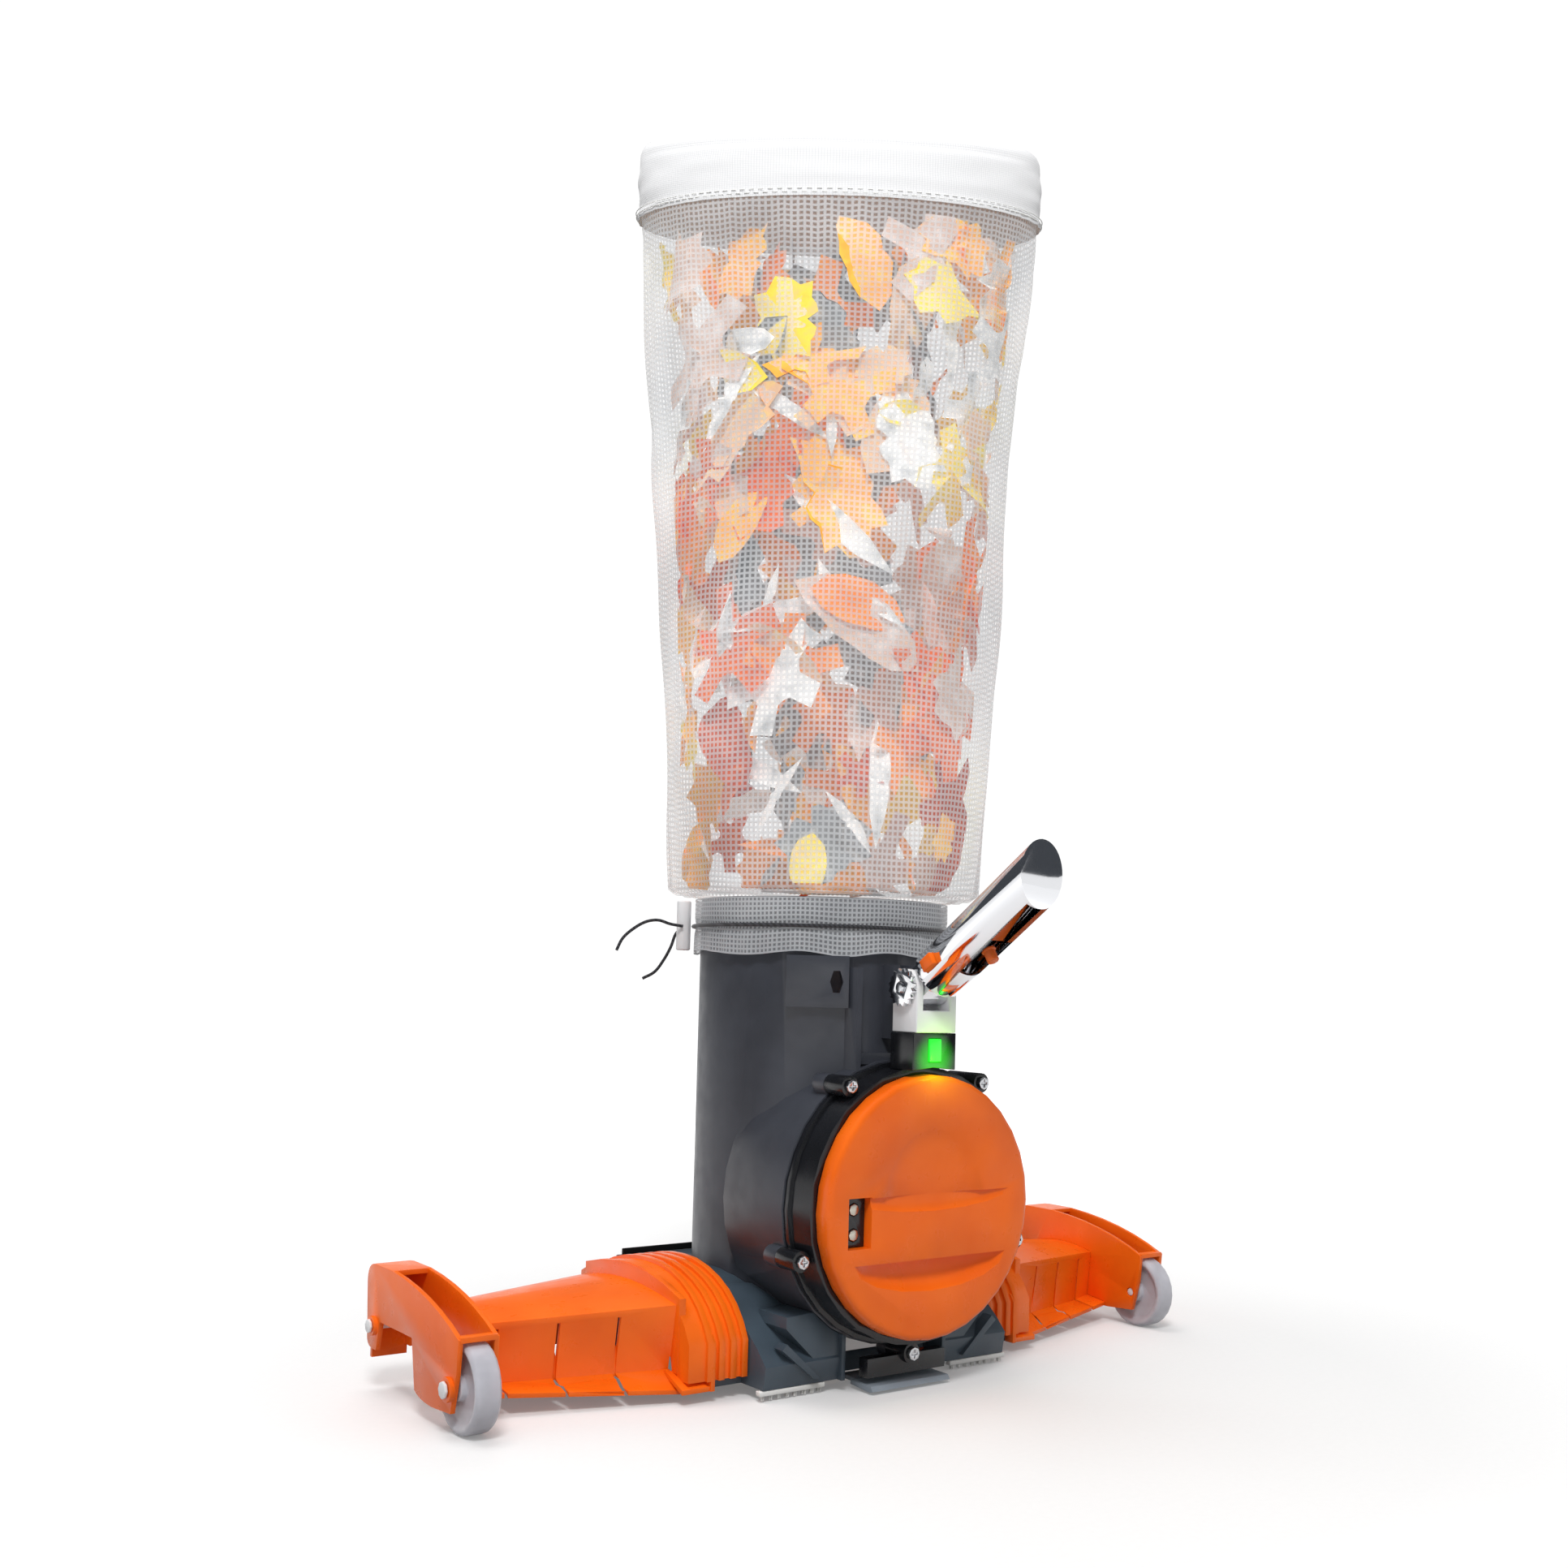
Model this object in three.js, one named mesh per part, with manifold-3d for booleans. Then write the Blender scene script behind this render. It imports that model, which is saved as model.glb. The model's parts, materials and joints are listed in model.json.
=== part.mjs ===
// Cordless leaf vacuum head for a pool pole, with its leaf bag standing on the suction tube.
// Millimetres. +Z is up, the front faces -Y, the wheel axles lie along X, and z = 0 is the floor.
import * as THREE from 'three';
import { mergeVertices } from 'three/addons/utils/BufferGeometryUtils.js';
import Module from 'manifold-3d';

const wasm = await Module();
wasm.setup();

// ---------------------------------------------------------------- driving dimensions
const fitGap = 0.3;
const runGap = 0.4;
const sides = { large: 32, medium: 16, small: 8 };

const wheel = { radius: 22, width: 14, tread: 3, y: -44 };
const axle = { radius: 2.6, headRadius: 4.2, headLength: 1.6 };
const fork = {
  outerX: 243.6, plate: 2.4, sideGap: 1, rise: 19, rearY: 60,
  bossRadius: 6, pinBossRadius: 5, bossRise: 2,
};
fork.cornerZ = 2 * wheel.radius + 2;
fork.topZ = fork.cornerZ + fork.rise;
const rearPin = { y: 49, z: 34, radius: 2.2, headRadius: 3.6, headLength: 1.4 };

const tube = { radius: 70, wall: 3, topZ: 262, bottomZ: 34, flange: 5, flangeHeight: 2.5 };
const cuff = { clearance: 0.6, thickness: 2.4, topZ: tube.topZ, length: 33 };
cuff.bottomZ = cuff.topZ - cuff.length;
const hood = {
  halfWidth: tube.radius + 14, frontY: -tube.radius - 2, rearY: tube.radius + 14,
  bottomZ: 6, topZ: 52, wall: 3,
};
const stub = { halfWidth: hood.halfWidth + 26, shrink: 4 };
// The arch that the hood's stubs and the wings' collars follow, front to rear.
const arch = {
  half: 56, sideZ: 30, frontY: -44, frontZ: 56, peakY: -8, peakZ: 61, bendY: 30, bendZ: 64, rearZ: 50,
};
const collar = { clearance: 1, lowZ: 11 };
const bay = { halfWidth: 34, backY: hood.frontY + 12, plate: 2.4, cheekTop: 48 };

const drum = { radius: 74, wall: 3, rise: 24, frontY: -tube.radius - 4, backY: -20 };
drum.centreZ = drum.radius + drum.rise;
drum.topZ = drum.centreZ + drum.radius;
const bracket = {
  slats: [-9, 1], slatWidth: 4, slatRise: 9, slatBottom: drum.topZ + 14, slatTop: cuff.bottomZ - 3,
  rib: { x: -30, width: 3.5, bottomZ: drum.topZ - 4, topZ: cuff.bottomZ - 5 },
  web: { x0: -28, x1: 20, bottomZ: drum.topZ, topZ: drum.topZ + 6 },
};
const pad = {
  width: 34, depth: 10, height: 28, z: tube.topZ - 46, turn: -38,
  slotRadius: 3.6, slotStretch: 1.9, slotTurn: -30,
};
const drain = {
  halfLength: 16, halfHeight: 3, depth: 12, turn: 38, x: 15.9 - drum.radius, z: drum.centreZ - 68.2,
};
const housing = {
  radius: drum.radius - 0.4, wall: 6, frontY: drum.frontY - 20, backY: drum.frontY + 2,
  floor: 2, flangeRise: 2.4, flangeDepth: 3.6,
};
// Short skirt below the motor housing, between the cheeks of the hood's bay.
const skirt = {
  halfWidth: 27, frontY: housing.frontY + 8, backY: housing.frontY + 15, rise: 2,
  topZ: drum.centreZ - drum.radius - 6,
};
const boss = {
  count: 5, firstAngle: 54, ringRadius: drum.radius + 5, radius: 5.5,
  frontY: housing.frontY + 4, earDepth: 10,
};
const screw = { radius: 1.8, headRadius: 3.6, headHeight: 2.2, length: 18 };

const cover = { radius: housing.radius - 3.6, rim: 4, thickness: 11, wall: 2.6, skirtInset: 4.2 };
const grip = { halfHeight: 17, centreZ: drum.centreZ - 9.5, pocketDepth: 8.4, dishDepth: 3 };
const charge = {
  left: 13 - cover.radius, width: 15, height: 26, centreZ: drum.centreZ - 5, depth: 4, contactRadius: 3.2,
};
const seal = { thickness: 1.6, ringRadius: housing.radius - 5.2 };
const motor = {
  radius: 8.2, left: -24, right: 12, y: housing.frontY + 10.8, shaftRadius: 1.5, gap: 2.8, floorGap: 6.4,
};
const battery = {
  radius: housing.radius - housing.wall - motor.floorGap - 2 * motor.radius - motor.gap, depth: 16.5,
};
motor.z = drum.centreZ - battery.radius - motor.gap - motor.radius;
const impeller = {
  radius: 7, hubRadius: 2.4, width: 5, x: motor.right + 4, blades: 6, casingWall: 1.4, inletRadius: 3.4,
};
const jet = { z: 56, height: 6, width: 3.4, count: 8, nozzleRadius: 1.6, nozzleHeight: 7 };

const handle = { radius: 14.5, wall: 1.8, start: 13, length: 104, tilt: 34, hubRadius: 9.6 };
const neck = {
  halfWidth: handle.radius + 0.5, frontY: housing.frontY - 9, backY: housing.frontY + 10,
  topZ: drum.topZ + 18, height: 24,
};
const lens = { halfWidth: 4, height: 12, depth: 2, proud: 1, bottomZ: neck.topZ - 15 };
const yoke = {
  halfWidth: handle.radius - 0.5, frontY: neck.frontY - 1, backY: neck.backY,
  blockTop: neck.topZ + 12, cheek: 4.6, cheekRadius: 10,
};
const pivot = { y: housing.frontY, z: neck.topZ + 24, pinRadius: 3, headRadius: 6, headLength: 2.2 };
const slot = { from: 34, to: 94, halfWidth: 8.5 };
const clip = {
  thickness: 1.2, halfWidth: slot.halfWidth - 1.2, bendAt: slot.to - 4, endAt: 57,
  spread: handle.radius - handle.wall - 3.7,
};
const button = { at: 52, radius: 3.2, proud: 3, travel: 3.5, headRadius: 4, headHeight: 1.2 };
const lock = { at: 24, halfLength: 4.5, halfHeight: 3.5, proud: 2.6, depth: 4 };
const ratchet = { radius: 10.5, toothDepth: 1.8, teeth: 16, thickness: 3 };

const wing = {
  rootX: stub.halfWidth + 10, collarX: hood.halfWidth + 1, wall: 2.4, lip: 3.2, lipRise: 4,
  ribs: 4, ribWidth: 3.4, ribRise: 2, passageInset: 10,
};
// Slits across the wing's front, placed by shares of the wing's length from its root.
const slit = { count: 3, first: 0.273, step: 0.283, width: 1.6, topMargin: 3 };
const wingRoot = { frontY: -45, rearY: 48, bottomZ: 14, topZ: 48, crown: 6 };
const wingTip = { frontY: -10, rearY: 38, bottomZ: 13, topZ: 42, crown: 4 };
const flange = { rootY: -52, rootZ: 6, tipY: -23, tipZ: 11, thickness: 2.2 };

const brush = { holder: 2.7, depth: 4, tuft: 2.6, pitch: 5.2, end: 1.5 };
const frontBrush = { middle: bay.halfWidth + 31, tufts: 8, y: hood.frontY + 2, clearance: 0.6 };
const rearBrush = { tufts: 15, y: hood.rearY - 5, pitch: 10.4 };
const skid = {
  halfWidth: 27, frontY: hood.frontY - 19, backY: hood.frontY, frontZ: 2, backZ: 4.6, thickness: 3,
};
const trim = { halfWidth: hood.halfWidth - 2, depth: 2, height: 4, inset: 8 };

const bag = { wall: 2.5, turn: -37, bottomZ: tube.topZ + fitGap, height: 454.7, bandHeight: 51 };
bag.topZ = bag.bottomZ + bag.height;
bag.bandBottom = bag.topZ - bag.bandHeight;
// Outer half-width and half-depth of the filled bag, by height above its shoulder.
const bagSections = [
  { rise: 0, width: tube.radius + 4, depth: tube.radius + 4 },
  { rise: 8.7, width: tube.radius + 21, depth: tube.radius + 10 },
  { rise: 37.7, width: tube.radius + 22, depth: tube.radius + 10 },
  { rise: 137.7, width: 97, depth: 74 },
  { rise: 267.7, width: 105, depth: 62 },
  { rise: bag.height - 77, width: 117, depth: 44 },
  { rise: bag.height - 37, width: 121, depth: 36 },
  { rise: bag.height - 10, width: 121, depth: 26 },
  { rise: bag.height, width: 116, depth: 16 },
].map((section) => ({ ...section, z: bag.bottomZ + section.rise }));
const drawstring = { radius: 1.2, z: cuff.topZ - 16 };
const cordLock = { radius: 4.4, bottomZ: cuff.topZ - 30, topZ: cuff.topZ - 1 };
const tailRadius = 0.9;
// Loose ends of the drawstring, as points from the cord lock outward: out from the tube, along it, height.
const tails = [
  [[0, 5.6, 0], [7, 8, 1], [14, 10, 3], [21, 9, 2], [28, 9, -2], [34, 12, -8], [37, 15, -15]],
  [[0, -5.6, 0], [5, -8, -4], [8, -9, -12], [12, -8, -20], [17, -7, -27], [24, -8, -31]],
];

// ---------------------------------------------------------------- derived places
const axleZ = wheel.radius;
const forkInnerX = fork.outerX - 2 * fork.plate - 2 * fork.sideGap - wheel.width;
const wheelX = (fork.outerX + forkInnerX) / 2;
const wingTipX = forkInnerX - fitGap;
const coverBackY = housing.frontY - fitGap;
const coverFrontY = coverBackY - cover.thickness;
const radians = THREE.MathUtils.degToRad;

// ---------------------------------------------------------------- geometry helpers
function signedVolume(positions, index) {
  const a = new THREE.Vector3();
  const b = new THREE.Vector3();
  const c = new THREE.Vector3();
  let sum = 0;
  for (let i = 0; i < index.length; i += 3) {
    a.fromArray(positions, 3 * index[i]);
    b.fromArray(positions, 3 * index[i + 1]);
    c.fromArray(positions, 3 * index[i + 2]);
    sum += a.dot(b.cross(c)) / 6;
  }
  return sum;
}

function solid(geometry) {
  const bare = geometry.clone();
  bare.deleteAttribute('normal');
  bare.deleteAttribute('uv');
  const merged = mergeVertices(bare, 1e-4);
  const positions = merged.attributes.position.array;
  const index = merged.index.array;
  const kept = [];
  for (let i = 0; i < index.length; i += 3) {
    const [a, b, c] = [index[i], index[i + 1], index[i + 2]];
    if (a !== b && b !== c && c !== a) kept.push(a, b, c);
  }
  if (signedVolume(positions, kept) < 0) kept.reverse();
  return new wasm.Manifold(new wasm.Mesh({
    numProp: 3,
    vertProperties: new Float32Array(positions),
    triVerts: new Uint32Array(kept),
  }));
}

function toGeometry(body) {
  const mesh = body.getMesh();
  const geometry = new THREE.BufferGeometry();
  geometry.setAttribute('position', new THREE.BufferAttribute(new Float32Array(mesh.vertProperties), 3));
  geometry.setIndex(new THREE.BufferAttribute(new Uint32Array(mesh.triVerts), 1));
  return geometry;
}

function join(...bodies) {
  return bodies.reduce((sum, body) => sum.add(body));
}

function cut(body, ...tools) {
  return tools.reduce((rest, tool) => rest.subtract(tool), body);
}

function warp(geometry, place) {
  const position = geometry.attributes.position;
  const point = new THREE.Vector3();
  for (let i = 0; i < position.count; i += 1) {
    point.fromBufferAttribute(position, i);
    place(point);
    position.setXYZ(i, point.x, point.y, point.z);
  }
  return geometry;
}

function mirrored(body) {
  const geometry = toGeometry(body);
  geometry.scale(-1, 1, 1);
  return solid(geometry);
}

function boxShape(x0, x1, y0, y1, z0, z1) {
  const geometry = new THREE.BoxGeometry(x1 - x0, y1 - y0, z1 - z0);
  return geometry.translate((x0 + x1) / 2, (y0 + y1) / 2, (z0 + z1) / 2);
}

function box(x0, x1, y0, y1, z0, z1) {
  return solid(boxShape(x0, x1, y0, y1, z0, z1));
}

function rodX(radius, x0, x1, y, z, count = sides.medium) {
  const geometry = new THREE.CylinderGeometry(radius, radius, x1 - x0, count);
  return solid(geometry.rotateZ(Math.PI / 2).translate((x0 + x1) / 2, y, z));
}

function rodY(radius, y0, y1, x, z, count = sides.medium) {
  const geometry = new THREE.CylinderGeometry(radius, radius, y1 - y0, count);
  return solid(geometry.translate(x, (y0 + y1) / 2, z));
}

function rodZ(radius, z0, z1, x, y, count = sides.medium) {
  const geometry = new THREE.CylinderGeometry(radius, radius, z1 - z0, count);
  return solid(geometry.rotateX(Math.PI / 2).translate(x, y, (z0 + z1) / 2));
}

function ellipsoid(radii, centre) {
  const geometry = new THREE.SphereGeometry(1, sides.medium, sides.small);
  return solid(geometry.scale(...radii).translate(...centre));
}

// A closed ring about Z, from [radius, height] points.
function ringZ(points, count = sides.large) {
  const profile = [...points, points[0]].map(([r, z]) => new THREE.Vector2(r, z));
  return solid(new THREE.LatheGeometry(profile, count).rotateX(Math.PI / 2));
}

function outline(points) {
  return new THREE.Shape(points.map(([u, v]) => new THREE.Vector2(u, v)));
}

// An outline in Y and Z, extruded along X.
function prismX(shape, x0, x1, curveSegments = 6) {
  const geometry = new THREE.ExtrudeGeometry(shape, { depth: x1 - x0, bevelEnabled: false, curveSegments });
  const turn = new THREE.Matrix4().makeBasis(
    new THREE.Vector3(0, 1, 0), new THREE.Vector3(0, 0, 1), new THREE.Vector3(1, 0, 0));
  return geometry.applyMatrix4(turn).translate(x0, 0, 0);
}

// An outline in X and Z, extruded along Y.
function prismY(shape, y0, y1, curveSegments = 6) {
  const geometry = new THREE.ExtrudeGeometry(shape, { depth: y1 - y0, bevelEnabled: false, curveSegments });
  return geometry.rotateX(Math.PI / 2).translate(0, y1, 0);
}

const group = new THREE.Group();

function addPiece(name, body, color, roughness, metalness = 0, extra = {}) {
  const material = new THREE.MeshStandardMaterial({ color, roughness, metalness, ...extra });
  const mesh = new THREE.Mesh(toGeometry(body), material);
  mesh.name = name;
  group.add(mesh);
}

const slate = '#3e4a54';
const charcoal = '#3c3f47';
const black = '#17181b';
const orange = '#f4772e';
const chromeColor = '#d9dadd';
const steel = '#b9bbbe';
const white = '#e9eaec';

// ---------------------------------------------------------------- base hood
function drumSpace(extra) {
  const radius = drum.radius + drum.wall + extra;
  return rodY(radius, drum.frontY - 12, drum.backY + extra, 0, drum.centreZ, sides.large);
}

// Section of the hood from front to rear: low front lip, long slope, flat top, upright rear.
function hoodSection(inset) {
  const { frontY, rearY, bottomZ, topZ } = hood;
  const low = inset > 0 ? bottomZ - 1 : bottomZ;
  return outline([
    [frontY + inset, low], [frontY - 2 + inset, bottomZ + 12], [frontY + 6 + inset, bottomZ + 20],
    [frontY + 34 + inset * 0.4, topZ - 4 - inset], [frontY + 42, topZ - inset],
    [rearY - 4 - inset, topZ - inset], [rearY - inset, topZ - 6 - inset], [rearY - inset, low],
  ]);
}

// The arched stub at each end of the hood, which the wing's ribbed collar slips over.
function stubSection(inset) {
  const s = stub.shrink + inset;
  const low = inset > 0 ? hood.bottomZ - 1 : hood.bottomZ;
  const shape = new THREE.Shape();
  const { half, sideZ, frontY, frontZ, peakY, peakZ, bendY, bendZ, rearZ } = arch;
  shape.moveTo(-half + s, low);
  shape.lineTo(-half + s, sideZ - s);
  shape.quadraticCurveTo(frontY + s / 2, frontZ - s, peakY, peakZ - s);
  shape.quadraticCurveTo(bendY, bendZ - s, half - s, rearZ - s);
  shape.lineTo(half - s, low);
  return shape;
}

function makeHood() {
  const { halfWidth, wall, bottomZ, topZ, frontY } = hood;
  const core = solid(prismX(hoodSection(0), -halfWidth, halfWidth));
  const stubs = solid(prismX(stubSection(0), -stub.halfWidth, stub.halfWidth));
  const hollow = solid(prismX(hoodSection(wall), -halfWidth + wall, halfWidth - wall));
  const stubHollow = solid(prismX(stubSection(wall), -stub.halfWidth - 1, stub.halfWidth + 1));
  const bayCut = box(-bay.halfWidth, bay.halfWidth, frontY - 20, bay.backY, bottomZ - 1, topZ + 5);
  const plates = [];
  for (const side of [-1, 1]) {
    const x0 = side > 0 ? bay.halfWidth : -bay.halfWidth - bay.plate;
    plates.push(box(x0, x0 + bay.plate, frontY - 4, bay.backY + bay.plate, bottomZ, bay.cheekTop));
    const step = outline([
      [side * (bay.halfWidth + 1), 19], [side * 53, 19], [side * 71, 36], [side * 71, 42],
      [side * (bay.halfWidth + 1), 44],
    ]);
    plates.push(solid(prismY(step, frontY - 1, frontY + 24)));
    const ridge = outline([[side * 50, 9], [side * 54, 9], [side * 75, 26], [side * 72, 29]]);
    plates.push(solid(prismY(ridge, frontY - 3.6, frontY + 4)));
  }
  const bayBack = box(
    -bay.halfWidth - 1, bay.halfWidth + 1, bay.backY, bay.backY + bay.plate, bottomZ, bay.cheekTop,
  );
  const shell = cut(join(core, stubs), hollow, stubHollow, bayCut);
  const body = join(shell, bayBack, ...plates);
  const tubeHole = rodZ(tube.radius + fitGap, bottomZ + 10, topZ + 20, 0, 0, sides.large);
  return cut(body, tubeHole, drumSpace(fitGap));
}
addPiece('base_hood', makeHood(), slate, 0.5);

function makeTrim() {
  const { halfWidth, depth, height, inset } = trim;
  const y0 = hood.rearY - inset;
  return box(-halfWidth, halfWidth, y0, y0 + depth, hood.topZ + fitGap, hood.topZ + height);
}
addPiece('rear_edge_trim', makeTrim(), black, 0.5);

function makeSkid() {
  const { halfWidth, frontY, backY, frontZ, backZ, thickness } = skid;
  const section = outline([
    [frontY, frontZ], [frontY + 3, frontZ - 0.8], [backY, backZ - thickness + 0.8],
    [backY, backZ], [frontY + 2, frontZ + thickness - 0.6],
  ]);
  const tongue = box(-halfWidth + 4, halfWidth - 4, backY - 2, bay.backY + bay.plate, backZ - 2, backZ);
  return join(solid(prismX(section, -halfWidth, halfWidth)), tongue);
}
addPiece('front_skid', makeSkid(), '#8d97a1', 0.5);

// ---------------------------------------------------------------- brushes
// A row of bristle tufts centred at x, under a flat holder strip that stops a little past them.
function makeBrush(x, tufts, pitch, halfTuft, y, tipZ) {
  const { holder, depth, tuft, end } = brush;
  const top = hood.bottomZ - fitGap;
  const reach = ((tufts - 1) * pitch) / 2 + halfTuft + end;
  let strip = box(x - reach, x + reach, y - depth / 2, y + depth / 2, top - holder, top);
  for (let i = 0; i < tufts; i += 1) {
    const middle = x + (i - (tufts - 1) / 2) * pitch;
    strip = strip.add(box(
      middle - halfTuft, middle + halfTuft, y - tuft / 2, y + tuft / 2, tipZ, top - holder + 1,
    ));
  }
  return strip;
}
for (const [name, side] of [['front_brush_left', -1], ['front_brush_right', 1]]) {
  const { middle, tufts, y, clearance } = frontBrush;
  addPiece(name, makeBrush(side * middle, tufts, brush.pitch, brush.tuft / 2, y, clearance), white, 0.8);
}
const rearRow = makeBrush(0, rearBrush.tufts, rearBrush.pitch, brush.tuft, rearBrush.y, 0);
addPiece('rear_brush', rearRow, white, 0.8);

// ---------------------------------------------------------------- suction tube with pump drum
function bossPlace(k) {
  const angle = radians(boss.firstAngle + (360 / boss.count) * k);
  return [boss.ringRadius * Math.cos(angle), drum.centreZ + boss.ringRadius * Math.sin(angle)];
}

// The raised pad on the tube's left front, which carries the long slot.
function padBlock(extra) {
  const block = new THREE.BoxGeometry(pad.width + extra, pad.depth + extra, pad.height + extra);
  return solid(block.translate(0, -tube.radius + 1, pad.z).rotateZ(radians(pad.turn)));
}

function makeTube() {
  const { radius, wall, topZ, bottomZ, flange: rise, flangeHeight } = tube;
  const inner = radius - wall;
  const ceiling = hood.topZ - hood.wall - fitGap;
  const pipe = ringZ([[inner, bottomZ], [radius, bottomZ], [radius, topZ], [inner, topZ]]);
  const collar = ringZ([
    [radius - 1, ceiling - flangeHeight], [radius + rise, ceiling - flangeHeight],
    [radius + rise, ceiling], [radius - 1, ceiling],
  ]);
  let body = join(pipe, cut(collar, box(-90, 90, -90, drum.backY - 4, 0, hood.topZ)));
  const outerR = drum.radius + drum.wall;
  let shell = rodY(outerR, drum.frontY, drum.backY, 0, drum.centreZ, sides.large);
  for (let k = 0; k < boss.count; k += 1) {
    const [x, z] = bossPlace(k);
    shell = shell.add(rodY(boss.radius, drum.frontY, drum.frontY + boss.earDepth, x, z));
  }
  const chamber = rodY(drum.radius, drum.frontY - 1, drum.backY - drum.wall, 0, drum.centreZ, sides.large);
  shell = cut(shell, chamber);
  // Brackets for the neck: two curved slats, a front rib and a pad with a long six-sided slot.
  const { slats, slatWidth, slatRise, slatBottom, slatTop, rib, web } = bracket;
  const bars = slats.map((x) =>
    box(x, x + slatWidth, -radius - slatRise, -radius + 2.5, slatBottom, slatTop));
  const ribPlate = box(rib.x, rib.x + rib.width, drum.frontY + 0.5, -radius + 14, rib.bottomZ, rib.topZ);
  const webPlate = box(web.x0, web.x1, -radius - 2, -radius + 3, web.bottomZ, web.topZ);
  body = join(body, shell, ...bars, ribPlate, webPlate, padBlock(0));
  const screwHole = screw.radius + fitGap;
  for (let k = 0; k < boss.count; k += 1) {
    const [x, z] = bossPlace(k);
    const depth = drum.frontY + boss.earDepth - 2;
    body = body.subtract(rodY(screwHole, drum.frontY - 2, depth, x, z, sides.small));
  }
  // Long six-sided slot in the pad, and the drain slot low on the left of the drum.
  const hex = new THREE.CylinderGeometry(pad.slotRadius, pad.slotRadius, 16, 6).rotateY(Math.PI / 6);
  hex.scale(1, 1, pad.slotStretch).translate(0, -radius - 2, pad.z).rotateZ(radians(pad.slotTurn));
  const { halfLength, halfHeight, depth, turn, x: drainX, z: drainZ } = drain;
  const slotCut = boxShape(-halfLength, halfLength, -depth / 2, depth / 2, -halfHeight, halfHeight);
  slotCut.rotateY(radians(turn)).translate(drainX, drum.frontY + 18, drainZ);
  const bore = rodZ(inner, drum.centreZ - drum.radius - 10, topZ + 1, 0, 0, sides.large);
  return cut(body, solid(hex), solid(slotCut), bore);
}
addPiece('suction_tube', makeTube(), charcoal, 0.45);

function makeJetRing() {
  const outer = tube.radius - tube.wall - fitGap;
  const inner = outer - jet.width;
  const ringTop = jet.z + jet.height;
  let ring = ringZ([[inner, jet.z], [outer, jet.z], [outer, ringTop], [inner, ringTop]]);
  for (let i = 0; i < jet.count; i += 1) {
    const angle = (2 * Math.PI * (i + 0.5)) / jet.count;
    const r = (inner + outer) / 2;
    const [x, y] = [r * Math.cos(angle), r * Math.sin(angle)];
    ring = ring.add(rodZ(jet.nozzleRadius, jet.z + 1, ringTop + jet.nozzleHeight, x, y, sides.small));
  }
  return ring;
}
addPiece('jet_ring', makeJetRing(), black, 0.5);

// ---------------------------------------------------------------- motor housing
function makeHousing() {
  const { radius, wall, frontY, backY, floor, flangeRise, flangeDepth } = housing;
  const seatY = drum.frontY - fitGap;
  let body = join(
    rodY(radius, frontY, backY, 0, drum.centreZ, sides.large),
    rodY(radius + flangeRise, seatY - flangeDepth, seatY, 0, drum.centreZ, sides.large),
    box(
      -skirt.halfWidth, skirt.halfWidth, skirt.frontY, skirt.backY, hood.bottomZ + skirt.rise, skirt.topZ,
    ),
  );
  for (let k = 0; k < boss.count; k += 1) {
    const [x, z] = bossPlace(k);
    body = body.add(rodY(boss.radius, boss.frontY, seatY, x, z));
  }
  body = cut(body, rodY(radius - wall, frontY - 1, backY - floor, 0, drum.centreZ, sides.large));
  const screwHole = screw.radius + fitGap;
  for (let k = 0; k < boss.count; k += 1) {
    const [x, z] = bossPlace(k);
    body = body.subtract(rodY(screwHole, boss.frontY - 8, seatY + 1, x, z, sides.small));
  }
  const groove = seal.ringRadius;
  const ring = ringZ([[groove - 1.4, 0], [groove + 1.4, 0], [groove + 1.4, 2], [groove - 1.4, 2]]);
  const sealCut = toGeometry(ring).rotateX(Math.PI / 2).translate(0, frontY + 1.4, drum.centreZ);
  return cut(body, solid(sealCut));
}
addPiece('motor_housing', makeHousing(), black, 0.35);

for (let k = 0; k < boss.count; k += 1) {
  const [x, z] = bossPlace(k);
  const seatY = boss.frontY - fitGap;
  const head = rodY(screw.headRadius, seatY - screw.headHeight, seatY, x, z, sides.small);
  const shank = rodY(screw.radius, seatY - 0.5, seatY + screw.length, x, z, sides.small);
  const cross = join(
    box(x - 0.5, x + 0.5, seatY - screw.headHeight - 1, seatY - screw.headHeight + 1, z - 2.2, z + 2.2),
    box(x - 2.2, x + 2.2, seatY - screw.headHeight - 1, seatY - screw.headHeight + 1, z - 0.5, z + 0.5),
  );
  addPiece(`housing_screw_${k + 1}`, cut(join(head, shank), cross), steel, 0.3, 0.9);
}

function makeSeal() {
  const r = seal.ringRadius;
  const half = seal.thickness / 2;
  const section = [];
  for (let i = 0; i < 6; i += 1) {
    const a = (i * Math.PI) / 3;
    section.push([r + half * Math.cos(a), half * Math.sin(a)]);
  }
  const ring = toGeometry(ringZ(section, sides.large)).rotateX(Math.PI / 2);
  return solid(ring.translate(0, housing.frontY + half - 0.1, drum.centreZ));
}
addPiece('cover_seal', makeSeal(), black, 0.8);

// ---------------------------------------------------------------- battery module behind the round cover
function pocketTools(grow) {
  const barTop = grip.centreZ + grip.halfHeight;
  const barBottom = grip.centreZ - grip.halfHeight;
  const reach = cover.radius + 5;
  const front = coverFrontY - 30;
  const above = box(-reach, reach, front, coverBackY + 5, barTop - grow, barTop + 80);
  const below = box(-reach, reach, front, coverBackY + 5, barBottom - 80, barBottom + grow);
  const ledge = box(-reach, reach, front, coverBackY + 5, barTop - 40, barTop + grow);
  const dish = ellipsoid([34 + grow, grip.dishDepth + grow, 36 + grow], [0, coverFrontY, barTop]);
  const groove = ellipsoid([56 + grow, 3 + grow, 9 + grow], [0, coverFrontY, barTop]);
  const pocket = ellipsoid([53 + grow, grip.pocketDepth + grow, 17 + grow], [0, coverFrontY, barBottom]);
  return [dish.intersect(above), groove.intersect(ledge), pocket.intersect(below)];
}

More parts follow.
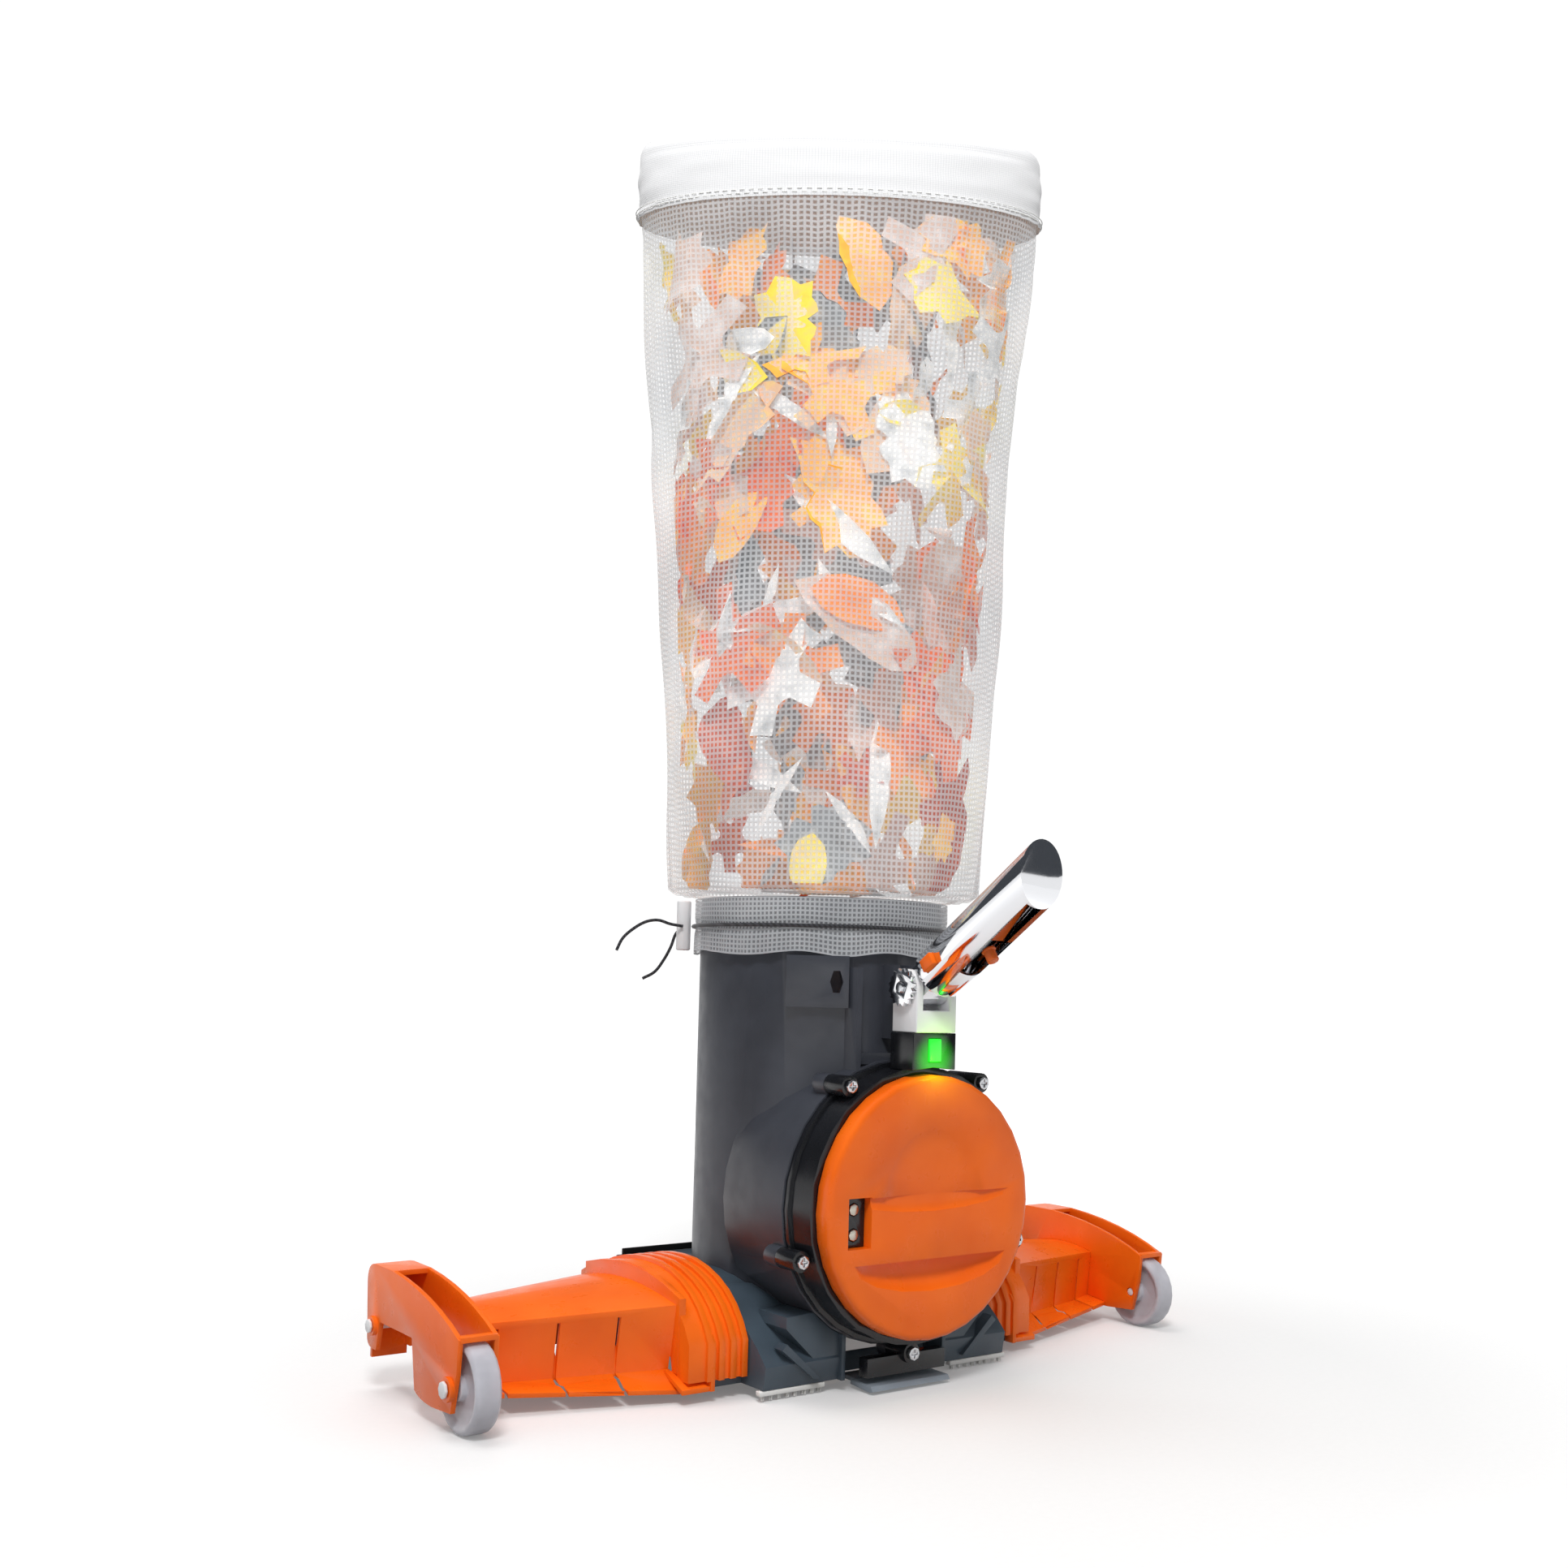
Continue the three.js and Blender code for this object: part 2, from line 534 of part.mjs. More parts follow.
function makeCover() {
  const { radius, rim, thickness, wall, skirtInset } = cover;
  const profile = new THREE.Shape();
  profile.moveTo(0, 0);
  profile.lineTo(radius, 0);
  profile.lineTo(radius, thickness - rim);
  profile.quadraticCurveTo(radius, thickness - 0.5, radius - rim, thickness - 0.5);
  profile.lineTo(0, thickness);
  const points = profile.getPoints(4);
  const dome = new THREE.LatheGeometry(points, sides.large).rotateX(Math.PI);
  dome.translate(0, coverBackY, drum.centreZ);
  const hollowRadius = radius - skirtInset - wall;
  const hollow = rodY(hollowRadius, coverFrontY + wall, coverBackY + 1, 0, drum.centreZ, sides.large);
  const inside = cut(hollow, ...pocketTools(wall));
  const { left, width, height, centreZ } = charge;
  const top = centreZ + height / 2;
  const bottom = centreZ - height / 2;
  const frame = box(left - 2, left + width + 2, coverFrontY + 1, coverBackY, bottom - 2, top + 2);
  const window = box(left, left + width, coverFrontY - 2, coverBackY + 3, bottom, top);
  const body = cut(solid(dome), inside);
  const round = rodY(radius - 1, coverFrontY, coverBackY, 0, drum.centreZ, sides.large);
  const framed = body.add(frame.intersect(round));
  return cut(framed, ...pocketTools(0), window);
}
addPiece('battery_cover', makeCover(), orange, 0.4);

function makeChargeBlock() {
  const { left, width, height, centreZ, depth, contactRadius } = charge;
  const y0 = coverBackY - 1 - depth;
  const block = box(
    left + fitGap, left + width - fitGap, y0, y0 + depth,
    centreZ - height / 2 + fitGap, centreZ + height / 2 - fitGap,
  );
  const hole = contactRadius + fitGap;
  const holes = [-1, 1].map((side) =>
    rodY(hole, y0 - 1, y0 + 1.6, left + width / 2, centreZ + side * height * 0.25, sides.small));
  return cut(block, ...holes);
}
addPiece('charge_block', makeChargeBlock(), black, 0.5);

for (const [name, side] of [['charge_contact_lower', -1], ['charge_contact_upper', 1]]) {
  const y = coverBackY - 1 - charge.depth;
  const z = charge.centreZ + side * charge.height * 0.25;
  const x = charge.left + charge.width / 2;
  addPiece(name, rodY(charge.contactRadius, y - 0.6, y + 1.3, x, z, sides.small), steel, 0.3, 1);
}

function makeBattery() {
  const front = coverBackY + 1;
  return rodY(battery.radius, front, front + battery.depth, 0, drum.centreZ, sides.large);
}
addPiece('battery_pack', makeBattery(), '#2b5f8f', 0.5);

// ---------------------------------------------------------------- motor, shaft and impeller
function makeMotor() {
  const can = rodX(motor.radius, motor.left, motor.right, motor.y, motor.z, sides.medium);
  const rearBoss = rodX(3, motor.left - 2, motor.left, motor.y, motor.z, sides.small);
  const { shaftRadius, left, right, y, z } = motor;
  const bore = rodX(shaftRadius + runGap, left + 4, right + 1, y, z, sides.small);
  return cut(join(can, rearBoss), bore);
}
addPiece('pump_motor', makeMotor(), steel, 0.35, 0.9);

function makeImpeller() {
  const { radius, hubRadius, width, x, blades } = impeller;
  const shaft = rodX(motor.shaftRadius, motor.left + 5, x + width, motor.y, motor.z, sides.small);
  const disc = rodX(radius, x, x + 1.2, motor.y, motor.z, sides.medium);
  const hub = rodX(hubRadius, x, x + width, motor.y, motor.z, sides.small);
  let wheelBody = join(shaft, disc, hub);
  for (let i = 0; i < blades; i += 1) {
    const blade = boxShape(x + 0.6, x + width, 2, radius - 0.3, -0.5, 0.5);
    blade.rotateX((2 * Math.PI * i) / blades + 0.2).translate(0, motor.y, motor.z);
    wheelBody = wheelBody.add(solid(blade));
  }
  return wheelBody;
}
addPiece('impeller', makeImpeller(), white, 0.5);

function makeCasing() {
  const { radius, width, x, casingWall, inletRadius } = impeller;
  const outer = radius + runGap + casingWall;
  const left = x - 1.2 - casingWall;
  const right = x + width + 0.6 + casingWall;
  const can = rodX(outer, left, right, motor.y, motor.z, sides.medium);
  const room = rodX(radius + runGap, left + casingWall, right - casingWall, motor.y, motor.z, sides.medium);
  const shaftHole = rodX(motor.shaftRadius + runGap, left - 1, x, motor.y, motor.z, sides.small);
  const inlet = rodX(inletRadius, x + width, right + 1, motor.y, motor.z, sides.small);
  return cut(can, room, shaftHole, inlet);
}
addPiece('impeller_casing', makeCasing(), black, 0.5);

// ---------------------------------------------------------------- neck, yoke and pole handle
function makeNeck() {
  const { halfWidth, frontY, backY, topZ, height } = neck;
  const block = box(-halfWidth, halfWidth, frontY, backY, topZ - height, topZ);
  const housingSpace = rodY(housing.radius + fitGap, frontY - 5, backY + 5, 0, drum.centreZ, sides.large);
  const lensSpace = box(
    -lens.halfWidth - fitGap, lens.halfWidth + fitGap, frontY - 1, frontY + lens.depth + fitGap,
    lens.bottomZ - fitGap, lens.bottomZ + lens.height + fitGap,
  );
  return cut(block, housingSpace, lensSpace);
}
addPiece('handle_neck', makeNeck(), black, 0.35);
addPiece('status_lens', box(
  -lens.halfWidth, lens.halfWidth, neck.frontY - lens.proud, neck.frontY + lens.depth,
  lens.bottomZ, lens.bottomZ + lens.height,
), '#2ee23c', 0.2);

function makeYoke() {
  const { halfWidth, frontY, backY, blockTop, cheek, cheekRadius } = yoke;
  let body = box(-halfWidth, halfWidth, frontY, backY, neck.topZ + fitGap, blockTop);
  for (const x0 of [-halfWidth, halfWidth - cheek]) {
    const plate = box(x0, x0 + cheek, frontY, backY, blockTop - 1, pivot.z);
    body = join(body, plate, rodX(cheekRadius, x0, x0 + cheek, pivot.y, pivot.z, sides.medium));
  }
  return cut(body, rodX(pivot.pinRadius + fitGap, -halfWidth - 1, halfWidth + 1, pivot.y, pivot.z));
}
addPiece('yoke', makeYoke(), white, 0.25, 0.3);

function makePin() {
  const { pinRadius, headRadius, headLength, y, z } = pivot;
  const end = yoke.halfWidth + fitGap;
  const pin = rodX(pinRadius, -end - ratchet.thickness - 1, end + 0.5, y, z);
  return join(pin, rodX(headRadius, end, end + headLength, y, z, sides.medium));
}
addPiece('pivot_pin', makePin(), steel, 0.3, 0.9);

function makeRatchet() {
  const shape = new THREE.Shape();
  for (let i = 0; i < ratchet.teeth * 2; i += 1) {
    const a = (Math.PI * i) / ratchet.teeth;
    const r = i % 2 ? ratchet.radius : ratchet.radius - ratchet.toothDepth;
    if (i === 0) shape.moveTo(r * Math.cos(a), r * Math.sin(a));
    else shape.lineTo(r * Math.cos(a), r * Math.sin(a));
  }
  const right = -yoke.halfWidth - fitGap;
  const disc = prismX(shape, right - ratchet.thickness, right).translate(0, pivot.y, pivot.z);
  return cut(solid(disc), rodX(pivot.pinRadius + fitGap, right - 9, right + 1, pivot.y, pivot.z));
}
addPiece('pivot_ratchet', makeRatchet(), chromeColor, 0.2, 1);

// Handle pieces are drawn along +Y from the pivot, with +Z as their upper side, then tilted into place.
function onHandle(geometry) {
  return geometry.rotateX(radians(handle.tilt)).rotateZ(Math.PI).translate(0, pivot.y, pivot.z);
}

function handleBody(body) {
  return solid(onHandle(toGeometry(body)));
}

function makeHandle() {
  const { radius, wall, start, length, tilt, hubRadius } = handle;
  const reach = length + radius * Math.tan(radians(tilt)) + 2;
  const hubHalf = yoke.halfWidth - yoke.cheek - runGap;
  const tubeBody = rodY(radius, start, reach, 0, 0, 40);
  const hollow = rodY(radius - wall, start + 4, reach, 0, 0, 40);
  // The far end is closed by a flat plate that stands upright when the handle rests at its tilt.
  const endPlane = (y) => boxShape(-40, 40, 0, 60, -60, 60).rotateX(radians(-tilt)).translate(0, y, 0);
  const capped = cut(tubeBody, solid(endPlane(length)));
  const inside = cut(hollow, solid(endPlane(length - 2)));
  const openSlot = box(-slot.halfWidth, slot.halfWidth, slot.from, slot.to, -radius - 2, 0);
  const hub = rodX(hubRadius, -hubHalf, hubHalf, 0, 0, sides.medium);
  const web = box(-hubHalf, hubHalf, 0, start + 1, -hubRadius + 1, hubRadius - 1);
  const lockHole = box(
    radius - 6, radius + 2, lock.at - lock.halfLength - fitGap, lock.at + lock.halfLength + fitGap,
    -lock.halfHeight - fitGap, lock.halfHeight + fitGap,
  );
  const pinHole = rodX(pivot.pinRadius + runGap, -hubHalf - 1, hubHalf + 1, 0, 0);
  return handleBody(cut(join(cut(capped, inside), hub, web), openSlot, lockHole, pinHole));
}
addPiece('pole_handle', makeHandle(), chromeColor, 0.08, 1);

function makeClip() {
  const { thickness, halfWidth, bendAt, endAt, spread } = clip;
  const low = -spread + 1;
  const section = outline([
    [bendAt, -1], [bendAt, 1], [endAt - 14, spread], [endAt - 14, spread - thickness],
    [bendAt - 4, 0], [endAt, low + thickness], [endAt, low],
  ]);
  return handleBody(solid(prismX(section, -halfWidth, halfWidth)));
}
addPiece('button_spring', makeClip(), orange, 0.45);

function makeButton() {
  const { at, radius, proud, headRadius, headHeight } = button;
  const stem = rodZ(radius, -handle.radius - proud, -clip.spread - 1.2, 0, at, sides.small);
  const head = rodZ(headRadius, -clip.spread - 1.2 - headHeight, -clip.spread - 1.2, 0, at, sides.small);
  return handleBody(join(stem, head));
}
addPiece('snap_button', makeButton(), '#e86a2c', 0.45);

function makeLock() {
  const { at, halfLength, halfHeight, proud, depth } = lock;
  const x1 = handle.radius + proud;
  return handleBody(box(x1 - proud - depth, x1, at - halfLength, at + halfLength, -halfHeight, halfHeight));
}
addPiece('tilt_lock_button', makeLock(), '#ff7a28', 0.4);

// ---------------------------------------------------------------- wings
// Wing sections are drawn in unit coordinates, u from front to rear and v from bottom to top, and then
// stretched from the root section to the tip section along X.
function wingBlend(x, key) {
  const t = (x - wing.rootX) / (wingTipX - wing.rootX);
  return THREE.MathUtils.lerp(wingRoot[key], wingTip[key], t);
}

function wingBody(inset) {
  const shape = new THREE.Shape();
  shape.moveTo(0.06, 0);
  shape.lineTo(0, 1);
  for (let i = 1; i <= 8; i += 1) shape.lineTo(i / 8, 1);
  shape.lineTo(1, 0);
  const x0 = wing.rootX - (inset > 0 ? 1 : 0);
  const x1 = wingTipX - (inset > 0 ? wing.wall : 0);
  return warp(prismX(shape, x0, x1), (p) => {
    const [u, v] = [p.y, p.z];
    const front = wingBlend(p.x, 'frontY') + inset;
    const rear = wingBlend(p.x, 'rearY') - inset;
    const bottom = wingBlend(p.x, 'bottomZ') - (inset > 0 ? 1 : 0);
    const top = wingBlend(p.x, 'topZ') + wingBlend(p.x, 'crown') * Math.sin(Math.PI * u * 0.86 + 0.1) - inset;
    p.y = front + u * (rear - front);
    p.z = bottom + v * (top - bottom);
  });
}

function wingFlange() {
  const shape = outline([[0, 0], [1, 0], [1, 1], [0, 1]]);
  return warp(prismX(shape, wing.rootX, wingTipX), (p) => {
    const [u, v] = [p.y, p.z];
    const t = (p.x - wing.rootX) / (wingTipX - wing.rootX);
    const edgeY = THREE.MathUtils.lerp(flange.rootY, flange.tipY, t);
    const edgeZ = THREE.MathUtils.lerp(flange.rootZ, flange.tipZ, t);
    const wallY = wingBlend(p.x, 'frontY') + 6;
    const wallZ = wingBlend(p.x, 'bottomZ') + 0.4;
    p.y = edgeY + u * (wallY - edgeY);
    p.z = edgeZ + u * (wallZ - edgeZ) + (v - 0.5) * flange.thickness;
  });
}

function collarSection(rise) {
  const { half, sideZ, frontY, frontZ, peakY, peakZ, bendY, bendZ, rearZ } = arch;
  const c = collar.clearance;
  const side = half + c + rise;
  const shape = new THREE.Shape();
  shape.moveTo(-side, collar.lowZ);
  shape.lineTo(-side, sideZ);
  shape.quadraticCurveTo(frontY - c - rise, frontZ + c + rise / 2, peakY, peakZ + c + rise);
  shape.quadraticCurveTo(bendY, bendZ + c + rise, side, rearZ + rise / 2);
  shape.lineTo(side, collar.lowZ);
  return shape;
}

function makeWing() {
  const { rootX, collarX, wall, lip, lipRise, ribs, ribWidth, ribRise } = wing;
  let body = join(solid(wingBody(0)), solid(wingFlange()));
  // Collar: an arched sleeve over the hood's stub, with raised bands round it.
  body = body.add(solid(prismX(collarSection(0), collarX, rootX)));
  const bandPitch = (rootX - lip - collarX - ribWidth) / ribs;
  for (let i = 0; i < ribs; i += 1) {
    const x0 = collarX + i * bandPitch;
    body = body.add(solid(prismX(collarSection(ribRise), x0, x0 + ribWidth)));
  }
  // Upright lip between the collar and the wing, and the flat tab in front of it.
  const lipShape = new THREE.Shape();
  lipShape.moveTo(wingRoot.frontY - 2, wingRoot.bottomZ);
  lipShape.lineTo(wingRoot.frontY - 3, wingRoot.topZ + lipRise);
  lipShape.quadraticCurveTo(0, 66 + lipRise, wingRoot.rearY + 3, wingRoot.topZ + 8);
  lipShape.lineTo(wingRoot.rearY + 3, wingRoot.bottomZ);
  body = body.add(solid(prismX(lipShape, rootX - lip, rootX + 0.6)));
  const tab = outline([[-59, 6], [-28, 6], [-28, 38], [-56, 34], [-59, 30]]);
  body = body.add(solid(prismX(tab, rootX - 15, rootX - 15 + wall)));
  const foot = outline([[-58, 6], [-40, 13], [-40, 15.4], [-58, 8.4]]);
  body = body.add(solid(prismX(foot, rootX - 14, rootX + 4)));
  const sleeve = solid(prismX(stubSection(-fitGap), collarX - 1, stub.halfWidth + 1.5));
  const passage = solid(prismX(stubSection(wing.passageInset), stub.halfWidth, rootX + 1));
  const hollow = solid(wingBody(wall));
  const under = box(collarX - 2, rootX + 1, -80, 80, -5, hood.bottomZ - 0.5);
  body = cut(body, sleeve, passage, hollow, under);
  for (let i = 0; i < slit.count; i += 1) {
    const x = wing.rootX + (slit.first + i * slit.step) * (wingTipX - wing.rootX);
    const top = wingBlend(x, 'topZ') - slit.topMargin;
    body = body.subtract(box(
      x - slit.width / 2, x + slit.width / 2, -90, wingBlend(x, 'frontY') + wall + 2.4, -2, top,
    ));
  }
  return body;
}
const rightWing = makeWing();
addPiece('right_wing', rightWing, orange, 0.4);
addPiece('left_wing', mirrored(rightWing), orange, 0.4);

// ---------------------------------------------------------------- wheel forks
function forkOutline() {
  const { topZ, cornerZ, rearY } = fork;
  const shape = new THREE.Shape();
  shape.moveTo(-46, 11);
  shape.lineTo(-51, 30);
  shape.lineTo(-52.5, cornerZ);
  shape.quadraticCurveTo(-18, topZ - 3, 28, topZ);
  shape.lineTo(rearY - 10, topZ);
  shape.quadraticCurveTo(rearY, topZ, rearY, topZ - 10);
  shape.lineTo(rearY - 2, 26);
  shape.quadraticCurveTo(rearY - 3, 22, rearY - 10, 22);
  shape.lineTo(rearY - 14, 22);
  shape.lineTo(rearY - 18, 37);
  shape.lineTo(1, 37);
  shape.lineTo(-4, 13);
  shape.quadraticCurveTo(-10, 9.5, -25, 9.5);
  return shape;
}

function makeFork() {
  const { outerX, plate, topZ, cornerZ, rearY, bossRadius, pinBossRadius, bossRise } = fork;
  const inner = solid(prismX(forkOutline(), forkInnerX, forkInnerX + plate));
  const outer = solid(prismX(forkOutline(), outerX - plate, outerX));
  const [x0, x1] = [forkInnerX + 1, outerX - 1];
  const roof = box(x0, x1, 27, rearY - 8, topZ - 2.4, topZ);
  const back = box(x0, x1, rearY - 7, rearY - 4.6, 17, topZ - 1.5);
  const bar = box(x0, x1, -52.6, -47, cornerZ - 1.6, cornerZ + 1);
  const bosses = [
    rodX(bossRadius, outerX - 0.5, outerX + bossRise, wheel.y, axleZ),
    rodX(pinBossRadius, outerX - 0.5, outerX + bossRise, rearPin.y, rearPin.z),
  ];
  const body = join(inner, outer, roof, back, bar, ...bosses);
  const axleHole = rodX(axle.radius + fitGap, forkInnerX - 1, outerX + 5, wheel.y, axleZ, sides.small);
  const pinRadius = rearPin.radius + fitGap;
  const pinHole = rodX(pinRadius, forkInnerX - 1, outerX + 5, rearPin.y, rearPin.z, sides.small);
  return cut(body, axleHole, pinHole);
}
const rightFork = makeFork();
addPiece('right_wheel_fork', rightFork, orange, 0.4);
addPiece('left_wheel_fork', mirrored(rightFork), orange, 0.4);

// A wide wheel with a dished face on each side and a raised ring inside the dish.
function makeWheel() {
  const { radius, width, tread, y } = wheel;
  const [x0, x1] = [wheelX - width / 2, wheelX + width / 2];
  const bore = axle.radius + runGap;
  const side = (x, out) => [
    [bore, x], [bore + 3, x], [bore + 3, x - out * 3], [radius - tread - 3, x - out * 3],
    [radius - tread, x - out * 0.4], [radius - 1.6, x - out * 0.2],
  ];
  const points = [...side(x1, 1), [radius, x1 - 2], [radius, x0 + 2], ...side(x0, -1).reverse()];
  const ring = toGeometry(ringZ(points, 24));
  return solid(ring.rotateY(Math.PI / 2).translate(0, y, axleZ));
}
const rightWheel = makeWheel();
const wheelLook = { transparent: true, opacity: 0.85 };
addPiece('right_wheel', rightWheel, '#c8c8d0', 0.35, 0, wheelLook);
addPiece('left_wheel', mirrored(rightWheel), '#c8c8d0', 0.35, 0, wheelLook);

function makeCrossPin(spec, y, z) {
  const end = fork.outerX + fork.bossRise + fitGap;
  const pin = rodX(spec.radius, forkInnerX + 0.4, end + 0.5, y, z, sides.small);
  return join(pin, rodX(spec.headRadius, end, end + spec.headLength, y, z, sides.small));
}
const rightAxle = makeCrossPin(axle, wheel.y, axleZ);
addPiece('right_axle', rightAxle, white, 0.4);
addPiece('left_axle', mirrored(rightAxle), white, 0.4);
const rightRearPin = makeCrossPin(rearPin, rearPin.y, rearPin.z);
addPiece('right_rear_pin', rightRearPin, white, 0.4);
addPiece('left_rear_pin', mirrored(rightRearPin), white, 0.4);

// ---------------------------------------------------------------- leaf bag
function bagSize(z, key) {
  const last = bagSections.length - 1;
  if (z <= bagSections[0].z) return bagSections[0][key];
  if (z >= bagSections[last].z) return bagSections[last][key];
  const i = bagSections.findIndex((section) => section.z >= z);
  const [a, b] = [bagSections[i - 1], bagSections[i]];
  return THREE.MathUtils.mapLinear(z, a.z, b.z, a[key], b[key]);
}

function bagLevels(z0, z1) {
  return [z0, ...bagSections.map((s) => s.z).filter((z) => z > z0 + 0.5 && z < z1 - 0.5), z1];
}

function bagBlock(z0, z1, inset) {
  const levels = bagLevels(z0, z1);
  const geometry = new THREE.CylinderGeometry(1, 1, levels.length - 1, 28, levels.length - 1);
  geometry.rotateX(Math.PI / 2).translate(0, 0, (levels.length - 1) / 2);
  warp(geometry, (p) => {
    const z = levels[Math.round(p.z)];
    p.x *= bagSize(z, 'width') - inset;
    p.y *= bagSize(z, 'depth') - inset;
    p.z = z;
  });
  return solid(geometry.rotateZ(radians(bag.turn)));
}

const shoulderZ = bag.bottomZ;
const mouth = rodZ(tube.radius - tube.wall, shoulderZ - 5, shoulderZ + 5, 0, 0, sides.large);
const bagHollow = bagBlock(shoulderZ + bag.wall, bag.bandBottom + 1, bag.wall);
const bagBody = cut(bagBlock(shoulderZ, bag.bandBottom, 0), bagHollow, mouth);
addPiece('bag_body', bagBody, '#d4d6d8', 0.9);
const bandBottom = bag.bandBottom + fitGap;
const bagBand = cut(
  bagBlock(bandBottom, bag.topZ, 0), bagBlock(bandBottom - 1, bag.topZ - bag.wall, bag.wall));
addPiece('bag_top_band', bagBand, '#f3f3f4', 0.9);

function makeCuff() {
  const inner = tube.radius + cuff.clearance;
  const outer = inner + cuff.thickness;
  const { bottomZ: z0, topZ: z1 } = cuff;
  return ringZ([[inner, z0], [outer, z0], [outer, z1], [inner, z1]]);
}
// The cuff's hem makes room for the pad on the tube.
addPiece('bag_cuff', cut(makeCuff(), padBlock(2 * fitGap)), '#9a9ca0', 0.9);

const stringRadius = tube.radius + cuff.clearance + cuff.thickness + drawstring.radius + fitGap;
function makeDrawstring() {
  const section = [];
  for (let i = 0; i < 6; i += 1) {
    const a = (i * Math.PI) / 3;
    const { radius, z } = drawstring;
    section.push([stringRadius + radius * Math.cos(a), z + radius * Math.sin(a)]);
  }
  return ringZ(section);
}
addPiece('drawstring', makeDrawstring(), '#2a2b2e', 0.9);

const lockRadius = stringRadius + drawstring.radius + fitGap + cordLock.radius;
const lockAngle = radians(180 + bag.turn);
const lockPlace = new THREE.Vector3(lockRadius * Math.cos(lockAngle), lockRadius * Math.sin(lockAngle), 0);
const lockBody = rodZ(
  cordLock.radius, cordLock.bottomZ, cordLock.topZ, lockPlace.x, lockPlace.y, sides.small,
);
addPiece('cord_lock', lockBody, white, 0.5);

tails.forEach((points, i) => {
  const out = new THREE.Vector3(Math.cos(lockAngle), Math.sin(lockAngle), 0);
  const along = new THREE.Vector3(-out.y, out.x, 0);
  const path = new THREE.CatmullRomCurve3(points.map(([a, b, c]) =>
    lockPlace.clone().addScaledVector(out, a).addScaledVector(along, b).setZ(drawstring.z + c)));
  const section = new THREE.Shape();
  section.absarc(0, 0, tailRadius, 0, 2 * Math.PI);
  const cord = new THREE.ExtrudeGeometry(section, { steps: 14, curveSegments: 4, extrudePath: path });
  addPiece(`string_tail_${i + 1}`, solid(cord), '#2a2b2e', 0.9);
});

// The origin is on the floor, under the middle of the object's overall length and width.
const bounds = new THREE.Box3().setFromObject(group);
group.position.y = -(bounds.min.y + bounds.max.y) / 2;

export default group;
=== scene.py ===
import bpy, bmesh, json, math, random
from mathutils import Matrix, Vector, noise


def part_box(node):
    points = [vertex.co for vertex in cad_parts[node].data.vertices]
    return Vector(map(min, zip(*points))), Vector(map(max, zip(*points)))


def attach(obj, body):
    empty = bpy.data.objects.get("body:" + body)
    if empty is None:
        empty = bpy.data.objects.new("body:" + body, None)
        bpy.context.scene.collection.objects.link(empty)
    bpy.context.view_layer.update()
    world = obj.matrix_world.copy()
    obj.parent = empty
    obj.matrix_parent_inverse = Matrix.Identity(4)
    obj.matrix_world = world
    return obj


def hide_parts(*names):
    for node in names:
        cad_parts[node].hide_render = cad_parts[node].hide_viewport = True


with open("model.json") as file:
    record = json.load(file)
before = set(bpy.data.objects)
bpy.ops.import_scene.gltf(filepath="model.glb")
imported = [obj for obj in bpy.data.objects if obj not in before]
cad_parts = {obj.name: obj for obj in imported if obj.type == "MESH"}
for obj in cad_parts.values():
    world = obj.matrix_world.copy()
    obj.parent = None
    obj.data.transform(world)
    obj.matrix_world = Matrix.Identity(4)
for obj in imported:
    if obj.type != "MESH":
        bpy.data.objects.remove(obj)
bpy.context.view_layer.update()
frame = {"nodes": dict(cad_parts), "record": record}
bodyOf = {node: body for body, nodes in frame["record"]["behaviour"]["bodies"].items() for node in nodes}
mm = 0.001


def middle(node):
    low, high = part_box(node)
    return (Vector(low) + Vector(high)) / 2


axisY = middle("jet_ring").y  # the suction tube's centre line
print("frame loaded,", len(frame["nodes"]), "nodes")

# camera and light
cameraSizes = {
    "place": (-0.5616, -0.7404 + axisY, 0.2172),
    "azimuth": -36.83, "elevation": -2.51, "roll": 1.49,
    "lens": 36.43, "shiftX": -0.0176, "shiftY": 0.08,
}


def addCamera(sizes):
    azimuth, elevation, roll = (math.radians(sizes[k]) for k in ("azimuth", "elevation", "roll"))
    level = math.cos(elevation)
    back = Vector((math.sin(azimuth) * level, -math.cos(azimuth) * level, math.sin(elevation)))
    flatRight = Vector((math.cos(azimuth), math.sin(azimuth), 0))
    flatUp = back.cross(flatRight)
    right = flatRight * math.cos(roll) + flatUp * math.sin(roll)
    up = flatUp * math.cos(roll) - flatRight * math.sin(roll)
    data = bpy.data.cameras.new("camera")
    data.lens, data.sensor_width = sizes["lens"], 36
    data.shift_x, data.shift_y = sizes["shiftX"], sizes["shiftY"]
    data.clip_start, data.clip_end = 0.01, 50
    camera = bpy.data.objects.new("camera", data)
    bpy.context.scene.collection.objects.link(camera)
    turn = Matrix((right, up, back)).transposed().to_4x4()
    camera.matrix_world = Matrix.Translation(Vector(sizes["place"])) @ turn
    bpy.context.scene.camera = camera


addCamera(cameraSizes)


def linear(hexColour):
    value = hexColour.lstrip("#")
    parts = [int(value[i:i + 2], 16) / 255 for i in (0, 2, 4)]
    return tuple(c / 12.92 if c <= 0.04045 else ((c + 0.055) / 1.055) ** 2.4 for c in parts) + (1.0,)


# settings: a colour ramp's stops, the node's own settings (small letters), or a socket's value
def addNode(tree, kind, settings=None, links=None):
    node = tree.nodes.new(kind)
    for key, value in (settings or {}).items():
        if key == "ramp":
            band = node.color_ramp
            while len(band.elements) < len(value):
                band.elements.new(0.5)
            for element, (place, colour) in zip(band.elements, value):
                element.position = place
                element.color = linear(colour)
        elif isinstance(key, str) and key[0].islower():
            setattr(node, key, value)
        else:
            node.inputs[key].default_value = value
    for socket, source in (links or {}).items():
        tree.links.new(source, node.inputs[socket])
    return node


